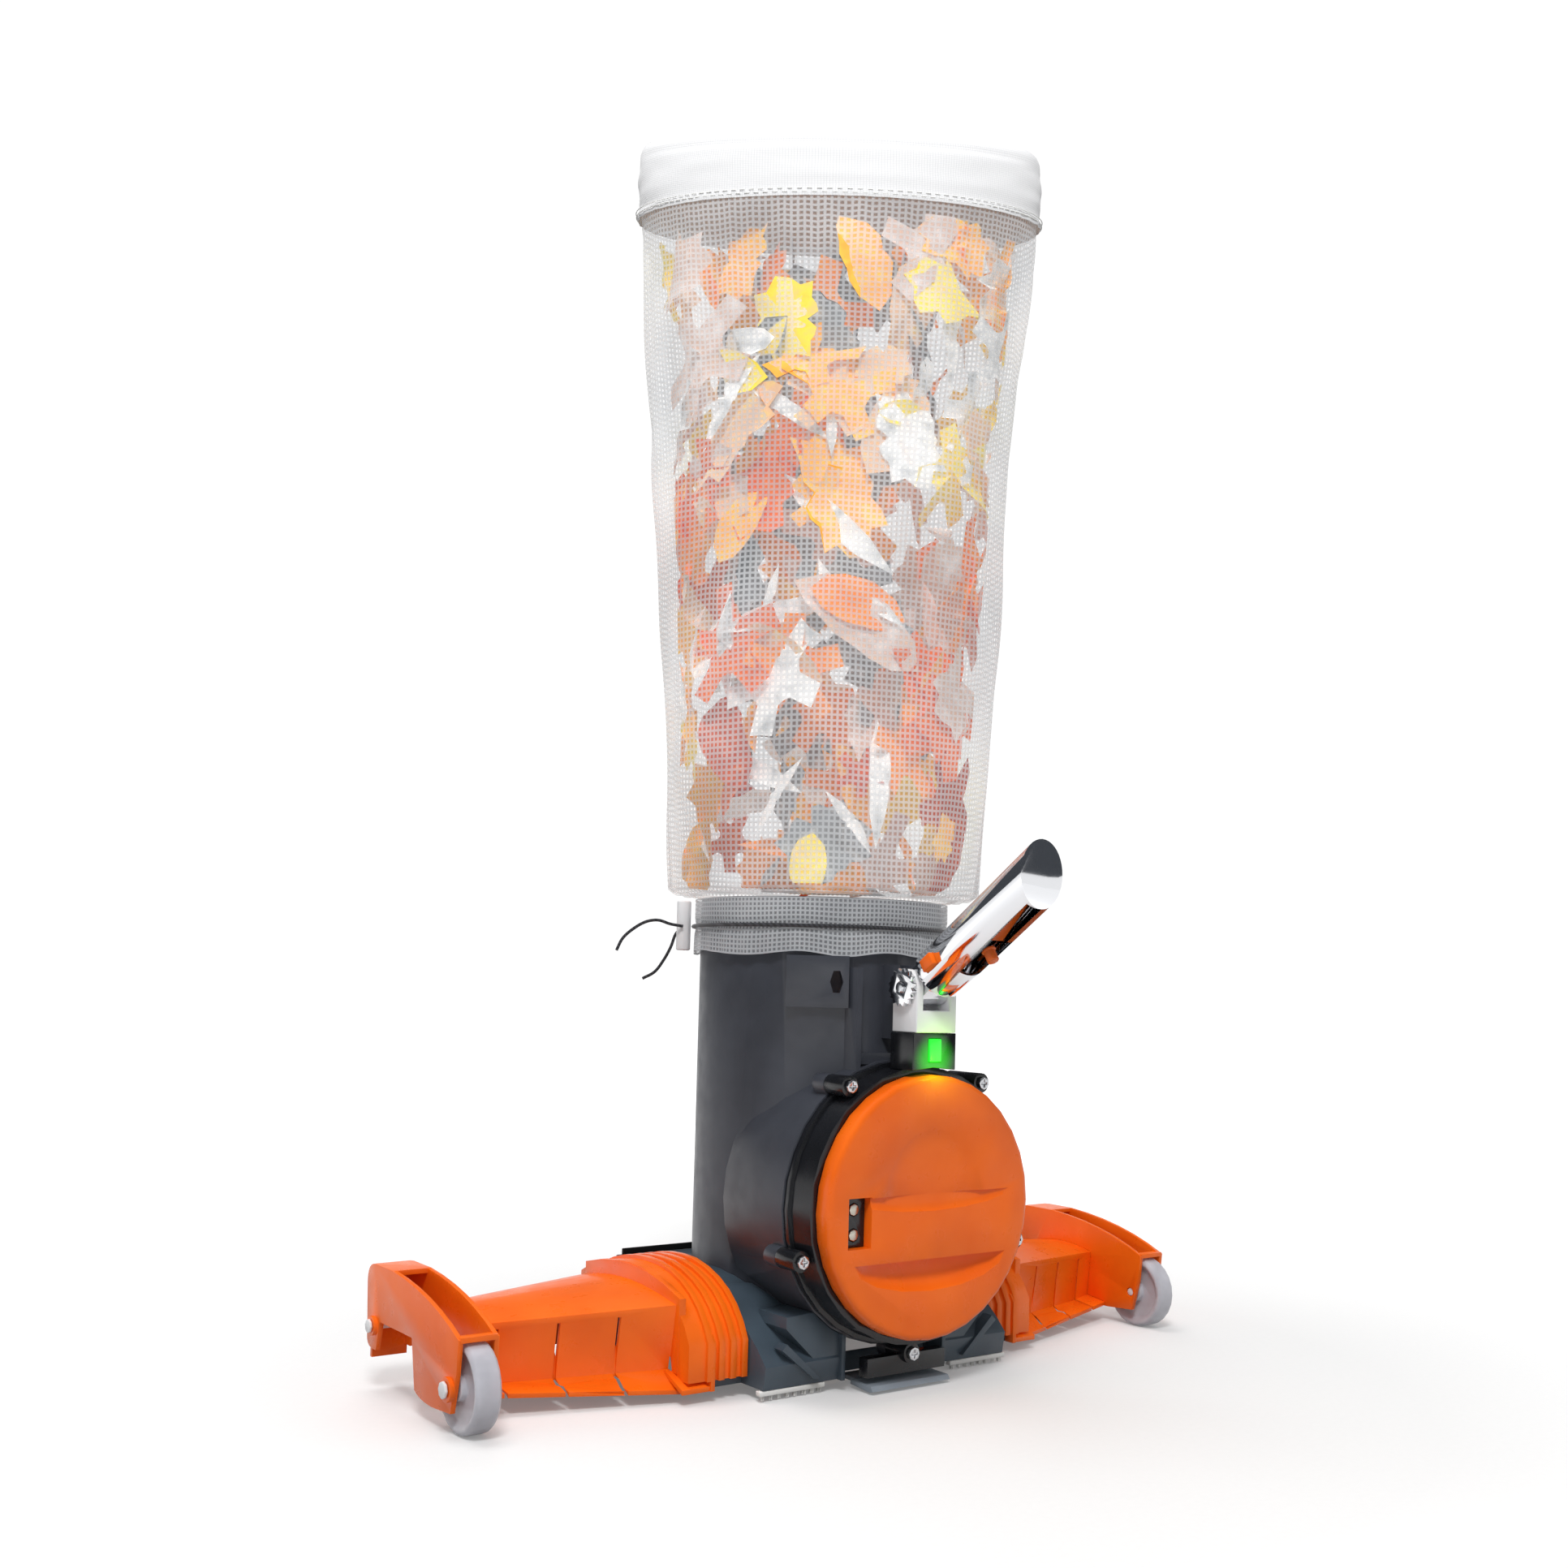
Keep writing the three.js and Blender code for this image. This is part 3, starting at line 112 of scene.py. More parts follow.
# a shader with its uniform values set straight on the sockets
def startMaterial(name, **sockets):
    material = bpy.data.materials.new(name)
    material.use_nodes = True
    tree = material.node_tree
    tree.nodes.clear()
    shader = addNode(tree, "ShaderNodeBsdfPrincipled", sockets)
    addNode(tree, "ShaderNodeOutputMaterial", {}, {"Surface": shader.outputs[0]})
    return material, tree, shader


# moulded plastic: a fine spark-eroded grain, slow shade drift, and rubbed patches that shine a little more
def mouldedPlastic(name, pale, deep, roughness, grain=0.45, grainDepth=0.02, **sockets):
    material, tree, shader = startMaterial(name, **sockets)
    place = addNode(tree, "ShaderNodeTexCoord").outputs["Object"]
    drift = addNode(tree, "ShaderNodeTexNoise", {"Scale": 1 / (38 * mm), "Detail": 3.0}, {"Vector": place})
    colour = addNode(
        tree, "ShaderNodeValToRGB", {"ramp": [(0.3, deep), (0.7, pale)]}, {"Fac": drift.outputs["Fac"]})
    tree.links.new(colour.outputs["Color"], shader.inputs["Base Color"])
    rubbed = addNode(tree, "ShaderNodeTexNoise", {"Scale": 1 / (11 * mm), "Detail": 4.0}, {"Vector": place})
    rough = addNode(
        tree, "ShaderNodeMapRange",
        {"From Min": 0.3, "From Max": 0.7, "To Min": roughness - 0.05, "To Max": roughness + 0.07},
        {"Value": rubbed.outputs["Fac"]},
    )
    tree.links.new(rough.outputs["Result"], shader.inputs["Roughness"])
    spark = addNode(
        tree, "ShaderNodeTexNoise", {"Scale": 1 / (grain * mm), "Detail": 1.0}, {"Vector": place})
    bump = addNode(
        tree, "ShaderNodeBump", {"Strength": 0.35, "Distance": grainDepth * mm},
        {"Height": spark.outputs["Fac"]},
    )
    tree.links.new(bump.outputs["Normal"], shader.inputs["Normal"])
    return material


# metal: long fine polishing lines and faint smears
def workedMetal(name, hexColour, roughness, lineSpacing, lineDepth):
    material, tree, shader = startMaterial(name, **{"Base Color": linear(hexColour), "Metallic": 1.0})
    place = addNode(tree, "ShaderNodeTexCoord").outputs["Object"]
    lay = addNode(
        tree, "ShaderNodeMapping", {"Scale": (1 / (lineSpacing * mm), 30.0, 30.0)}, {"Vector": place},
    )
    lines = addNode(tree, "ShaderNodeTexNoise", {"Scale": 1.0, "Detail": 2.0}, {"Vector": lay.outputs[0]})
    smear = addNode(tree, "ShaderNodeTexNoise", {"Scale": 1 / (22 * mm), "Detail": 3.0}, {"Vector": place})
    rough = addNode(
        tree, "ShaderNodeMapRange",
        {"From Min": 0.3, "From Max": 0.7, "To Min": roughness * 0.6, "To Max": roughness * 1.6},
        {"Value": smear.outputs["Fac"]},
    )
    tree.links.new(rough.outputs["Result"], shader.inputs["Roughness"])
    bump = addNode(
        tree, "ShaderNodeBump", {"Strength": 0.2, "Distance": lineDepth * mm},
        {"Height": lines.outputs["Fac"]},
    )
    tree.links.new(bump.outputs["Normal"], shader.inputs["Normal"])
    return material


# One direction of threads across a UV axis given in metres: 1 on a thread's crown, 0 in the gap.
def threads(tree, along, pitch, share):
    scaled = addNode(
        tree, "ShaderNodeMath", {"operation": "MULTIPLY", 1: 1 / (pitch * mm)}, {0: along},
    ).outputs[0]
    wave = addNode(tree, "ShaderNodeMath", {"operation": "PINGPONG", 1: 0.5}, {0: scaled}).outputs[0]
    return addNode(
        tree, "ShaderNodeMapRange",
        {"interpolation_type": "SMOOTHSTEP", "From Min": 0.5 - share * 0.7, "From Max": 0.5 - share * 0.3,
         "To Min": 0.0, "To Max": 1.0},
        {"Value": wave},
    ).outputs["Result"]


# Open net: monofilament threads crossing at right angles, see-through between them. The real pitch is
# about 1.5 mm; it is drawn at the given pitch so that it shows. The threads carry a painted glow: white light
# given off by the net.
def openNet(name, thread, shade, pitch, share, gapAlpha, threadAlpha, paintedGlow):
    material, tree, shader = startMaterial(name, **{
        "Roughness": 0.55, "Sheen Weight": 0.3, "Sheen Roughness": 0.5, "Specular IOR Level": 0.3,
        "Emission Color": linear("#FFFFFF"), "Emission Strength": paintedGlow,
    })
    uv = addNode(tree, "ShaderNodeTexCoord").outputs["UV"]
    split = addNode(tree, "ShaderNodeSeparateXYZ", {}, {"Vector": uv})
    across = threads(tree, split.outputs["X"], pitch, share)
    up = threads(tree, split.outputs["Y"], pitch, share)
    weave = addNode(tree, "ShaderNodeMath", {"operation": "MAXIMUM"}, {0: across, 1: up}).outputs[0]
    place = addNode(tree, "ShaderNodeTexCoord").outputs["Object"]
    cloud = addNode(tree, "ShaderNodeTexNoise", {"Scale": 1 / (60 * mm), "Detail": 3.0}, {"Vector": place})
    colour = addNode(
        tree, "ShaderNodeValToRGB", {"ramp": [(0.35, shade), (0.65, thread)]},
        {"Fac": cloud.outputs["Fac"]},
    )
    tree.links.new(colour.outputs["Color"], shader.inputs["Base Color"])
    clear = addNode(
        tree, "ShaderNodeMapRange", {"To Min": gapAlpha, "To Max": threadAlpha}, {"Value": weave},
    )
    tree.links.new(clear.outputs["Result"], shader.inputs["Alpha"])
    bump = addNode(tree, "ShaderNodeBump", {"Strength": 0.5, "Distance": 0.25 * mm}, {"Height": weave})
    tree.links.new(bump.outputs["Normal"], shader.inputs["Normal"])
    return material


# close plain weave on the piece's own UV, soft sheen
def plainWeave(name, pale, deep, pitch):
    material, tree, shader = startMaterial(name, **{
        "Roughness": 0.8, "Sheen Weight": 0.4, "Sheen Roughness": 0.4, "Specular IOR Level": 0.2,
    })
    uv = addNode(tree, "ShaderNodeTexCoord").outputs["UV"]
    split = addNode(tree, "ShaderNodeSeparateXYZ", {}, {"Vector": uv})
    across = threads(tree, split.outputs["X"], pitch, 0.8)
    up = threads(tree, split.outputs["Y"], pitch, 0.8)
    weave = addNode(tree, "ShaderNodeMath", {"operation": "MULTIPLY"}, {0: across, 1: up}).outputs[0]
    colour = addNode(tree, "ShaderNodeValToRGB", {"ramp": [(0.0, deep), (0.8, pale)]}, {"Fac": weave})
    tree.links.new(colour.outputs["Color"], shader.inputs["Base Color"])
    place = addNode(tree, "ShaderNodeTexCoord").outputs["Object"]
    slub = addNode(tree, "ShaderNodeTexNoise", {"Scale": 1 / (9 * mm), "Detail": 3.0}, {"Vector": place})
    height = addNode(tree, "ShaderNodeMath", {"operation": "ADD"}, {0: weave, 1: slub.outputs["Fac"]})
    bump = addNode(
        tree, "ShaderNodeBump", {"Strength": 0.4, "Distance": 0.2 * mm}, {"Height": height.outputs[0]})
    tree.links.new(bump.outputs["Normal"], shader.inputs["Normal"])
    return material


# twisted cord: slanting strands that wrap it
def twistedCord(name, pale, deep):
    material, tree, shader = startMaterial(name, **{"Roughness": 0.75, "Sheen Weight": 0.3})
    place = addNode(tree, "ShaderNodeTexCoord").outputs["Object"]
    lay = addNode(tree, "ShaderNodeMapping", {"Rotation": (0.6, 0.5, 0.4)}, {"Vector": place})
    strand = addNode(
        tree, "ShaderNodeTexWave", {"Scale": 1 / (6 * mm), "Distortion": 0.6}, {"Vector": lay.outputs[0]})
    twist = strand.outputs["Fac"]
    colour = addNode(tree, "ShaderNodeValToRGB", {"ramp": [(0.2, deep), (0.8, pale)]}, {"Fac": twist})
    tree.links.new(colour.outputs["Color"], shader.inputs["Base Color"])
    bump = addNode(tree, "ShaderNodeBump", {"Strength": 0.6, "Distance": 0.2 * mm}, {"Height": twist})
    tree.links.new(bump.outputs["Normal"], shader.inputs["Normal"])
    return material


# milky polypropylene: light passes a little way in and blurs
def milkyPlastic(name, hexColour, alpha):
    material, tree, shader = startMaterial(name, **{
        "Subsurface Weight": 0.6, "Subsurface Scale": 4 * mm, "Subsurface Radius": (1.0, 1.0, 1.0),
        "Roughness": 0.3, "IOR": 1.49, "Alpha": alpha,
    })
    place = addNode(tree, "ShaderNodeTexCoord").outputs["Object"]
    flow = addNode(tree, "ShaderNodeTexNoise", {"Scale": 1 / (14 * mm), "Detail": 2.0}, {"Vector": place})
    colour = addNode(
        tree, "ShaderNodeValToRGB", {"ramp": [(0.3, "#C6C6CE"), (0.7, hexColour)]},
        {"Fac": flow.outputs["Fac"]},
    )
    tree.links.new(colour.outputs["Color"], shader.inputs["Base Color"])
    scuff = addNode(tree, "ShaderNodeTexNoise", {"Scale": 1 / (0.8 * mm)}, {"Vector": place})
    bump = addNode(
        tree, "ShaderNodeBump", {"Strength": 0.2, "Distance": 0.03 * mm}, {"Height": scuff.outputs["Fac"]})
    tree.links.new(bump.outputs["Normal"], shader.inputs["Normal"])
    return material


# dry leaves and pale shreds: one tone each from the tone attribute, mottled
def dryLeaf(name):
    # painted glow: each leaf also gives off its own colour as light, to keep it bright behind the net
    material, tree, shader = startMaterial(name, **{
        "Roughness": 0.6, "Specular IOR Level": 0.3, "Emission Strength": 0.22,
    })
    tone = addNode(tree, "ShaderNodeAttribute", {"attribute_name": "tone"}).outputs["Fac"]
    place = addNode(tree, "ShaderNodeTexCoord").outputs["Object"]
    mottle = addNode(tree, "ShaderNodeTexNoise", {"Scale": 1 / (10 * mm), "Detail": 5.0}, {"Vector": place})
    shift = addNode(
        tree, "ShaderNodeMapRange", {"From Min": 0.3, "From Max": 0.7, "To Min": -0.05, "To Max": 0.05},
        {"Value": mottle.outputs["Fac"]},
    )
    mixed = addNode(
        tree, "ShaderNodeMath", {"operation": "ADD"}, {0: tone, 1: shift.outputs["Result"]}).outputs[0]
    # tone 0.97 is a dark grey that is painted shade: grey leaves standing in for the shadowed inside of the
    # bag
    colour = addNode(tree, "ShaderNodeValToRGB", {"ramp": [
        (0.0, "#AE4426"), (0.12, "#DE6426"), (0.28, "#F28A2E"), (0.42, "#F7AE4E"), (0.55, "#F4DC58"),
        (0.66, "#E6BC96"), (0.76, "#CDB0A2"), (0.88, "#F6F4F1"), (0.97, "#85898C"),
    ]}, {"Fac": mixed})
    tree.links.new(colour.outputs["Color"], shader.inputs["Base Color"])
    tree.links.new(colour.outputs["Color"], shader.inputs["Emission Color"])  # painted glow in the leaf's own colour, standing in for light through the leaf
    bump = addNode(
        tree, "ShaderNodeBump", {"Strength": 0.5, "Distance": 0.5 * mm}, {"Height": mottle.outputs["Fac"]})
    tree.links.new(bump.outputs["Normal"], shader.inputs["Normal"])
    return material


finishes = {
    # satin ABS, moulded against a spark-eroded tool: dark, with a soft broad highlight
    "slateAbs": mouldedPlastic("slateSatinAbs", "#46535E", "#3A454F", 0.42),
    "charcoalAbs": mouldedPlastic("charcoalSatinAbs", "#40434B", "#34363D", 0.40),
    # gloss ABS, moulded against a polished tool: strong clear orange, tighter highlight
    "orangeAbs": mouldedPlastic("orangeGlossAbs", "#FF7216", "#F4660E", 0.30, grainDepth=0.01, **{
        "Specular IOR Level": 0.32,
    }),
    # acetal, moulded: waxy, less shine than the ABS round it
    "orangeClip": mouldedPlastic("orangeAcetal", "#F0701F", "#DE6015", 0.42),
    "whiteAcetal": mouldedPlastic("whiteAcetal", "#F2F2F3", "#E4E5E7", 0.35),
    # black gloss ABS: nearly black, with sharp lines of light on its edges
    "blackAbs": mouldedPlastic("blackGlossAbs", "#1A1B1F", "#131417", 0.24, grainDepth=0.01),
    # polypropylene skid: pale grey and dull from rubbing on the pool floor
    "skid": mouldedPlastic("greySkidPlastic", "#97A1AB", "#858F99", 0.5),
    # white gloss ABS: bright, clean and smooth
    "yoke": mouldedPlastic("whiteGlossAbs", "#FAFAFB", "#EEEFF1", 0.16, grainDepth=0.005),
    # nitrile rubber, pressed: flat black, hardly any shine
    "rubber": mouldedPlastic("nitrileRubber", "#161616", "#0E0E0E", 0.7),
    # heat-shrunk vinyl round the cells: blue and slightly glossy
    "battery": mouldedPlastic("shrinkWrap", "#2F66A0", "#24527F", 0.4),
    # drawn nylon: off-white, soft sheen along each bristle
    "bristle": mouldedPlastic("nylonBristle", "#F4F4F2", "#E2E2DE", 0.5),
    # aluminium tube, drawn and polished: near mirror, with faint draw lines
    "polishedTube": workedMetal("polishedAluminiumTube", "#E6E7EA", 0.055, 0.6, 0.004),
    # chrome plate: mirror with small smears
    "chrome": workedMetal("brightChromePlate", "#E9EAEC", 0.08, 0.8, 0.004),
    # stainless steel, turned: grey metal with a blurred reflection
    "steel": workedMetal("stainlessSteel", "#C4C6C9", 0.22, 0.4, 0.01),
    # nickel on brass: warm grey, dulled where it touches
    "contact": workedMetal("nickelContact", "#B9B4A8", 0.3, 0.4, 0.01),
    # natural polypropylene: milky, lets light a little way in
    "milky": milkyPlastic("milkyPolypropylene", "#DADAE2", 0.82),
    # polyester net: pale threads, dark gaps, and a painted white glow
    "net": openNet("openPolyesterNet", "#DCDEE1", "#A6AAAF", 3.2, 0.44, 0.14, 0.60, 0.17),
    "cuffNet": openNet("darkerCuffNet", "#C9CCD0", "#AAADB2", 2.6, 0.42, 0.20, 0.72, 0.05),
    # polyester plain weave: white and soft, with a faint sheen
    "band": plainWeave("whitePolyesterWeave", "#EDEDEE", "#DADBDD", 1.4),
    # twisted polyester cord: dark, with slanting strands
    "cord": twistedCord("darkTwistedCord", "#3A3B40", "#1E1F22"),
    "leaf": dryLeaf("dryLeaf"),
}


# clear acrylic light pipe with a prismed face: an even green glow, a little cell by cell
def ledMaterial():
    material, tree, shader = startMaterial("greenLightPipe", **{
        "Base Color": linear("#2EC23C"), "Roughness": 0.2, "Emission Color": linear("#22D830"),
        "Emission Strength": 0.9,
    })
    place = addNode(tree, "ShaderNodeTexCoord").outputs["Object"]
    cells = addNode(tree, "ShaderNodeTexVoronoi", {"Scale": 1 / (1.2 * mm)}, {"Vector": place})
    bump = addNode(
        tree, "ShaderNodeBump", {"Strength": 0.3, "Distance": 0.1 * mm}, {"Height": cells.outputs[0]})
    tree.links.new(bump.outputs["Normal"], shader.inputs["Normal"])
    return material


finishes["led"] = ledMaterial()


# black gloss plastic with a painted green glow round the light pipe, fading out with distance
def blackGlossWithPaintedGlow(name, centre, near, far, strength):
    material = mouldedPlastic(name, "#1A1B1F", "#131417", 0.24, grainDepth=0.01, **{
        "Emission Color": linear("#24D81C"),
    })
    tree = material.node_tree
    place = addNode(tree, "ShaderNodeTexCoord").outputs["Object"]
    away = addNode(tree, "ShaderNodeVectorMath", {"operation": "DISTANCE", 1: centre}, {0: place})
    fade = addNode(
        tree, "ShaderNodeMapRange",
        {"interpolation_type": "SMOOTHSTEP", "From Min": near * mm, "From Max": far * mm,
         "To Min": strength, "To Max": 0.0},
        {"Value": away.outputs["Value"]},
    )
    tree.links.new(fade.outputs["Result"], tree.nodes["Principled BSDF"].inputs["Emission Strength"])
    return material


lampCentre = middle("status_lens") - Vector((0, 0, 5 * mm))  # the lamp sits low behind the lens
# the neck: black gloss with a painted pool of green light round the lens
finishes["neck"] = blackGlossWithPaintedGlow("blackGlossAbsPaintedGlow", lampCentre, 4, 16, 0.8)
print("materials made")


# tools for shaping
def pickNone():
    if bpy.context.object and bpy.context.object.mode != "OBJECT":
        bpy.ops.object.mode_set(mode="OBJECT")
    bpy.ops.object.select_all(action="DESELECT")


def pick(*pieces):
    pickNone()
    for piece in pieces:
        piece.select_set(True)
    bpy.context.view_layer.objects.active = pieces[0]


def newest(name):
    piece = bpy.context.object
    piece.name = piece.data.name = name
    return piece


def applyAll(piece):
    pick(piece)
    for modifier in list(piece.modifiers):
        bpy.ops.object.modifier_apply(modifier=modifier.name)
    return piece


def finishPiece(piece, body, finish, replaced=(), smoothAngle=35):
    pick(piece)
    if smoothAngle:
        bpy.ops.object.shade_smooth_by_angle(angle=math.radians(smoothAngle))
    piece.data.materials.clear()
    piece.data.materials.append(finishes[finish])
    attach(piece, body)
    if replaced:
        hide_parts(*replaced)
    return piece


# join pieces into the first one
def joinPieces(pieces, name):
    pick(*pieces)
    bpy.ops.object.join()
    return newest(name)


# A moulded edge on a carried-over shape: merged, flat areas cleaned, sharp edges rounded.
def soften(node, name, radius, finish, angle=40, segments=2):
    source = frame["nodes"][node]
    piece = bpy.data.objects.new(name, source.data.copy())
    bpy.context.scene.collection.objects.link(piece)
    pick(piece)
    bpy.ops.object.mode_set(mode="EDIT")
    bpy.ops.mesh.select_all(action="SELECT")
    bpy.ops.mesh.remove_doubles(threshold=0.00001)
    bpy.ops.mesh.dissolve_limited(angle_limit=math.radians(0.4))
    bpy.ops.object.mode_set(mode="OBJECT")
    if radius:
        bevel = piece.modifiers.new("roundedEdge", "BEVEL")
        bevel.width, bevel.segments = radius * mm, segments
        bevel.limit_method, bevel.angle_limit = "ANGLE", math.radians(angle)
        bevel.use_clamp_overlap = True
        bevel.harden_normals = False
        applyAll(piece)
    return finishPiece(piece, bodyOf[node], finish, [node])


# hard pieces
# piece: node, edge radius in mm, finish, record slot
hardPieces = [
    ("baseHood", "base_hood", 0.8, "slateAbs", "slate_plastic"),
    ("rearEdgeTrim", "rear_edge_trim", 0.5, "rubber", "black_plastic"),
    ("frontSkid", "front_skid", 0.7, "skid", "grey_skid"),
    ("suctionTube", "suction_tube", 0.6, "charcoalAbs", "charcoal_plastic"),
    ("jetRing", "jet_ring", 0.4, "blackAbs", "black_plastic"),
    ("motorHousing", "motor_housing", 0.8, "blackAbs", "black_plastic"),
    ("coverSeal", "cover_seal", 0, "rubber", "rubber_seal"),
    ("batteryCover", "battery_cover", 0.5, "orangeAbs", "orange_plastic"),
    ("chargeBlock", "charge_block", 0.4, "blackAbs", "black_plastic"),
    ("chargeContactLower", "charge_contact_lower", 0.4, "contact", "contact_metal"),
    ("chargeContactUpper", "charge_contact_upper", 0.4, "contact", "contact_metal"),
    ("batteryPack", "battery_pack", 1.0, "battery", "battery_wrap"),
    ("pumpMotor", "pump_motor", 0.4, "steel", "steel_hardware"),
    ("pumpImpeller", "impeller", 0.2, "whiteAcetal", "white_plastic"),
    ("impellerCasing", "impeller_casing", 0.4, "blackAbs", "black_plastic"),
    ("handleNeck", "handle_neck", 0.8, "neck", "black_plastic"),
    ("statusLens", "status_lens", 0.5, "led", "led_lens"),
    ("yokeBlock", "yoke", 0.6, "yoke", "yoke_plastic"),
    ("pivotPin", "pivot_pin", 0.5, "steel", "steel_hardware"),
    ("pivotRatchet", "pivot_ratchet", 0.25, "chrome", "bright_chrome"),
    ("poleHandle", "pole_handle", 0.4, "polishedTube", "polished_tube"),
    ("buttonSpring", "button_spring", 0.3, "orangeClip", "orange_clip"),
    ("snapButton", "snap_button", 0.5, "orangeClip", "orange_clip"),
    ("tiltLockButton", "tilt_lock_button", 0.5, "orangeAbs", "orange_plastic"),
    ("rightWing", "right_wing", 0.7, "orangeAbs", "orange_plastic"),
    ("leftWing", "left_wing", 0.7, "orangeAbs", "orange_plastic"),
    ("rightWheelFork", "right_wheel_fork", 0.6, "orangeAbs", "orange_plastic"),
    ("leftWheelFork", "left_wheel_fork", 0.6, "orangeAbs", "orange_plastic"),
    ("rightWheel", "right_wheel", 0.6, "milky", "wheel_plastic"),
    ("leftWheel", "left_wheel", 0.6, "milky", "wheel_plastic"),
    ("rightAxle", "right_axle", 0.5, "whiteAcetal", "white_plastic"),
    ("leftAxle", "left_axle", 0.5, "whiteAcetal", "white_plastic"),
    ("rightRearPin", "right_rear_pin", 0.5, "whiteAcetal", "white_plastic"),
    ("leftRearPin", "left_rear_pin", 0.5, "whiteAcetal", "white_plastic"),
    ("cordLock", "cord_lock", 1.0, "whiteAcetal", "white_plastic"),
    ("drawstringRing", "drawstring", 0, "cord", "dark_cord"),
]
for name, node, radius, finish, slotName in hardPieces:
    soften(node, name, radius, finish)
for k in range(1, 6):
    soften(f"housing_screw_{k}", f"housingScrew{k}", 0.3, "steel")
print("hard pieces rounded")


# bag
bagSizes = {
    "turn": -37.0, "around": 112, "rows": 84,
    # height above the floor, half-width and half-depth, mm
    "sections": [
        (262.3, 74, 74), (266, 83, 78), (271, 90.5, 80), (300, 92, 80), (400, 97, 74), (530, 105, 62),
        (640, 117, 44), (666, 119.5, 39), (680, 121, 36), (700, 121, 30), (711, 119, 22), (717, 114, 14),
    ],
    "bandBottom": 666.0, "hemDepth": 5.0,
    # shares of the half-width
    "dent": 0.030, "pleat": 0.022, "pleats": 19, "crease": 0.045, "crumple": 0.030, "cloth": 0.985,
    # metres
    "clothWidth": 0.60, "flat": (0.555, 0.415),
}


def bagHalf(z):
    rows = bagSizes["sections"]
    z = min(max(z, rows[0][0]), rows[-1][0])
    for (z0, w0, d0), (z1, w1, d1) in zip(rows, rows[1:]):
        if z <= z1:
            t = (z - z0) / (z1 - z0)
            return w0 + (w1 - w0) * t, d0 + (d1 - d0) * t
    return rows[-1][1:]


# a point across the bag, through it and up, in mm
def turned(u, v, z):
    turn = math.radians(bagSizes["turn"])
    x = u * math.cos(turn) - v * math.sin(turn)
    y = u * math.sin(turn) + v * math.cos(turn)
    return Vector((x * mm, y * mm + axisY, z * mm))


# a point of the bag: angle round the tube, height in mm, share of the full half-width
def bagPoint(angle, z, share=1.0):
    width, depth = bagHalf(z)
    return turned(width * share * math.cos(angle), depth * share * math.sin(angle), z)


# Soft folds: long slanting dents, pleats gathered at the mouth, and small crumples.
def bagFold(angle, z):
    low = bagSizes["sections"][0][0]
    height = (z - low) / (bagSizes["bandBottom"] - low)
    gather = math.exp(-height * 7.0)
    middling = math.sin(math.pi * min(max(height, 0), 1))
    dent = bagSizes["dent"] * math.sin(3 * angle + 5.2 * height + 0.6) * middling
    pleat = bagSizes["pleat"] * gather * math.sin(bagSizes["pleats"] * angle + 1.3 * math.sin(4 * angle))
    fromCrease = math.sin(angle / 2 - 1.45 - 0.22 * height) / 0.07
    crease = -bagSizes["crease"] * math.exp(-fromCrease ** 2) * (1 - gather)
    spot = Vector((2.6 * math.cos(angle), 2.6 * math.sin(angle), 6.5 * height))
    crumple = bagSizes["crumple"] * noise.noise(spot)
    rim = min(1.0, max(0.0, (1 - height) * 9))
    return (dent + crease + crumple) * rim + pleat


def openTube(name, around, rows):
    bpy.ops.mesh.primitive_cylinder_add(vertices=around, radius=1, depth=1, end_fill_type="NOTHING")
    piece = newest(name)
    bpy.ops.object.mode_set(mode="EDIT")
    bpy.ops.mesh.select_all(action="DESELECT")
    bpy.ops.mesh.select_mode(type="EDGE")
    shape = bmesh.from_edit_mesh(piece.data)
    for edge in shape.edges:
        a, b = edge.verts
        edge.select = abs(a.co.z - b.co.z) > 0.5
    bmesh.update_edit_mesh(piece.data)
    bpy.ops.mesh.subdivide(number_cuts=rows - 1)
    bpy.ops.object.mode_set(mode="OBJECT")
    return piece


# Puts a tube's points by angle and height, and lays its UV out in metres of flat cloth.
def shapeTube(piece, place, heightOf, clothWidth, upScale=mm):
    marks = {}
    for vertex in piece.data.vertices:
        angle = math.atan2(vertex.co.y, vertex.co.x) % (2 * math.pi)
        level = vertex.co.z + 0.5
        marks[vertex.index] = (angle, level)
        vertex.co = place(angle, heightOf(level))
    layer = piece.data.uv_layers.active or piece.data.uv_layers.new(name="cloth")
    for face in piece.data.polygons:
        angles = [marks[piece.data.loops[i].vertex_index][0] for i in face.loop_indices]
        wrap = max(angles) - min(angles) > math.pi
        for i, angle in zip(face.loop_indices, angles):
            if wrap and angle < math.pi:
                angle += 2 * math.pi
            level = marks[piece.data.loops[i].vertex_index][1]
            layer.data[i].uv = (angle / (2 * math.pi) * clothWidth, heightOf(level) * upScale)


clothSizes = {
    "quality": 6, "mass": 0.15, "tension": 14, "compression": 6, "shear": 4, "bending": 0.08,
    "gravity": 0.3, "pressure": 0.6, "grow": 0.02, "frames": 16, "mostMove": 4,
}


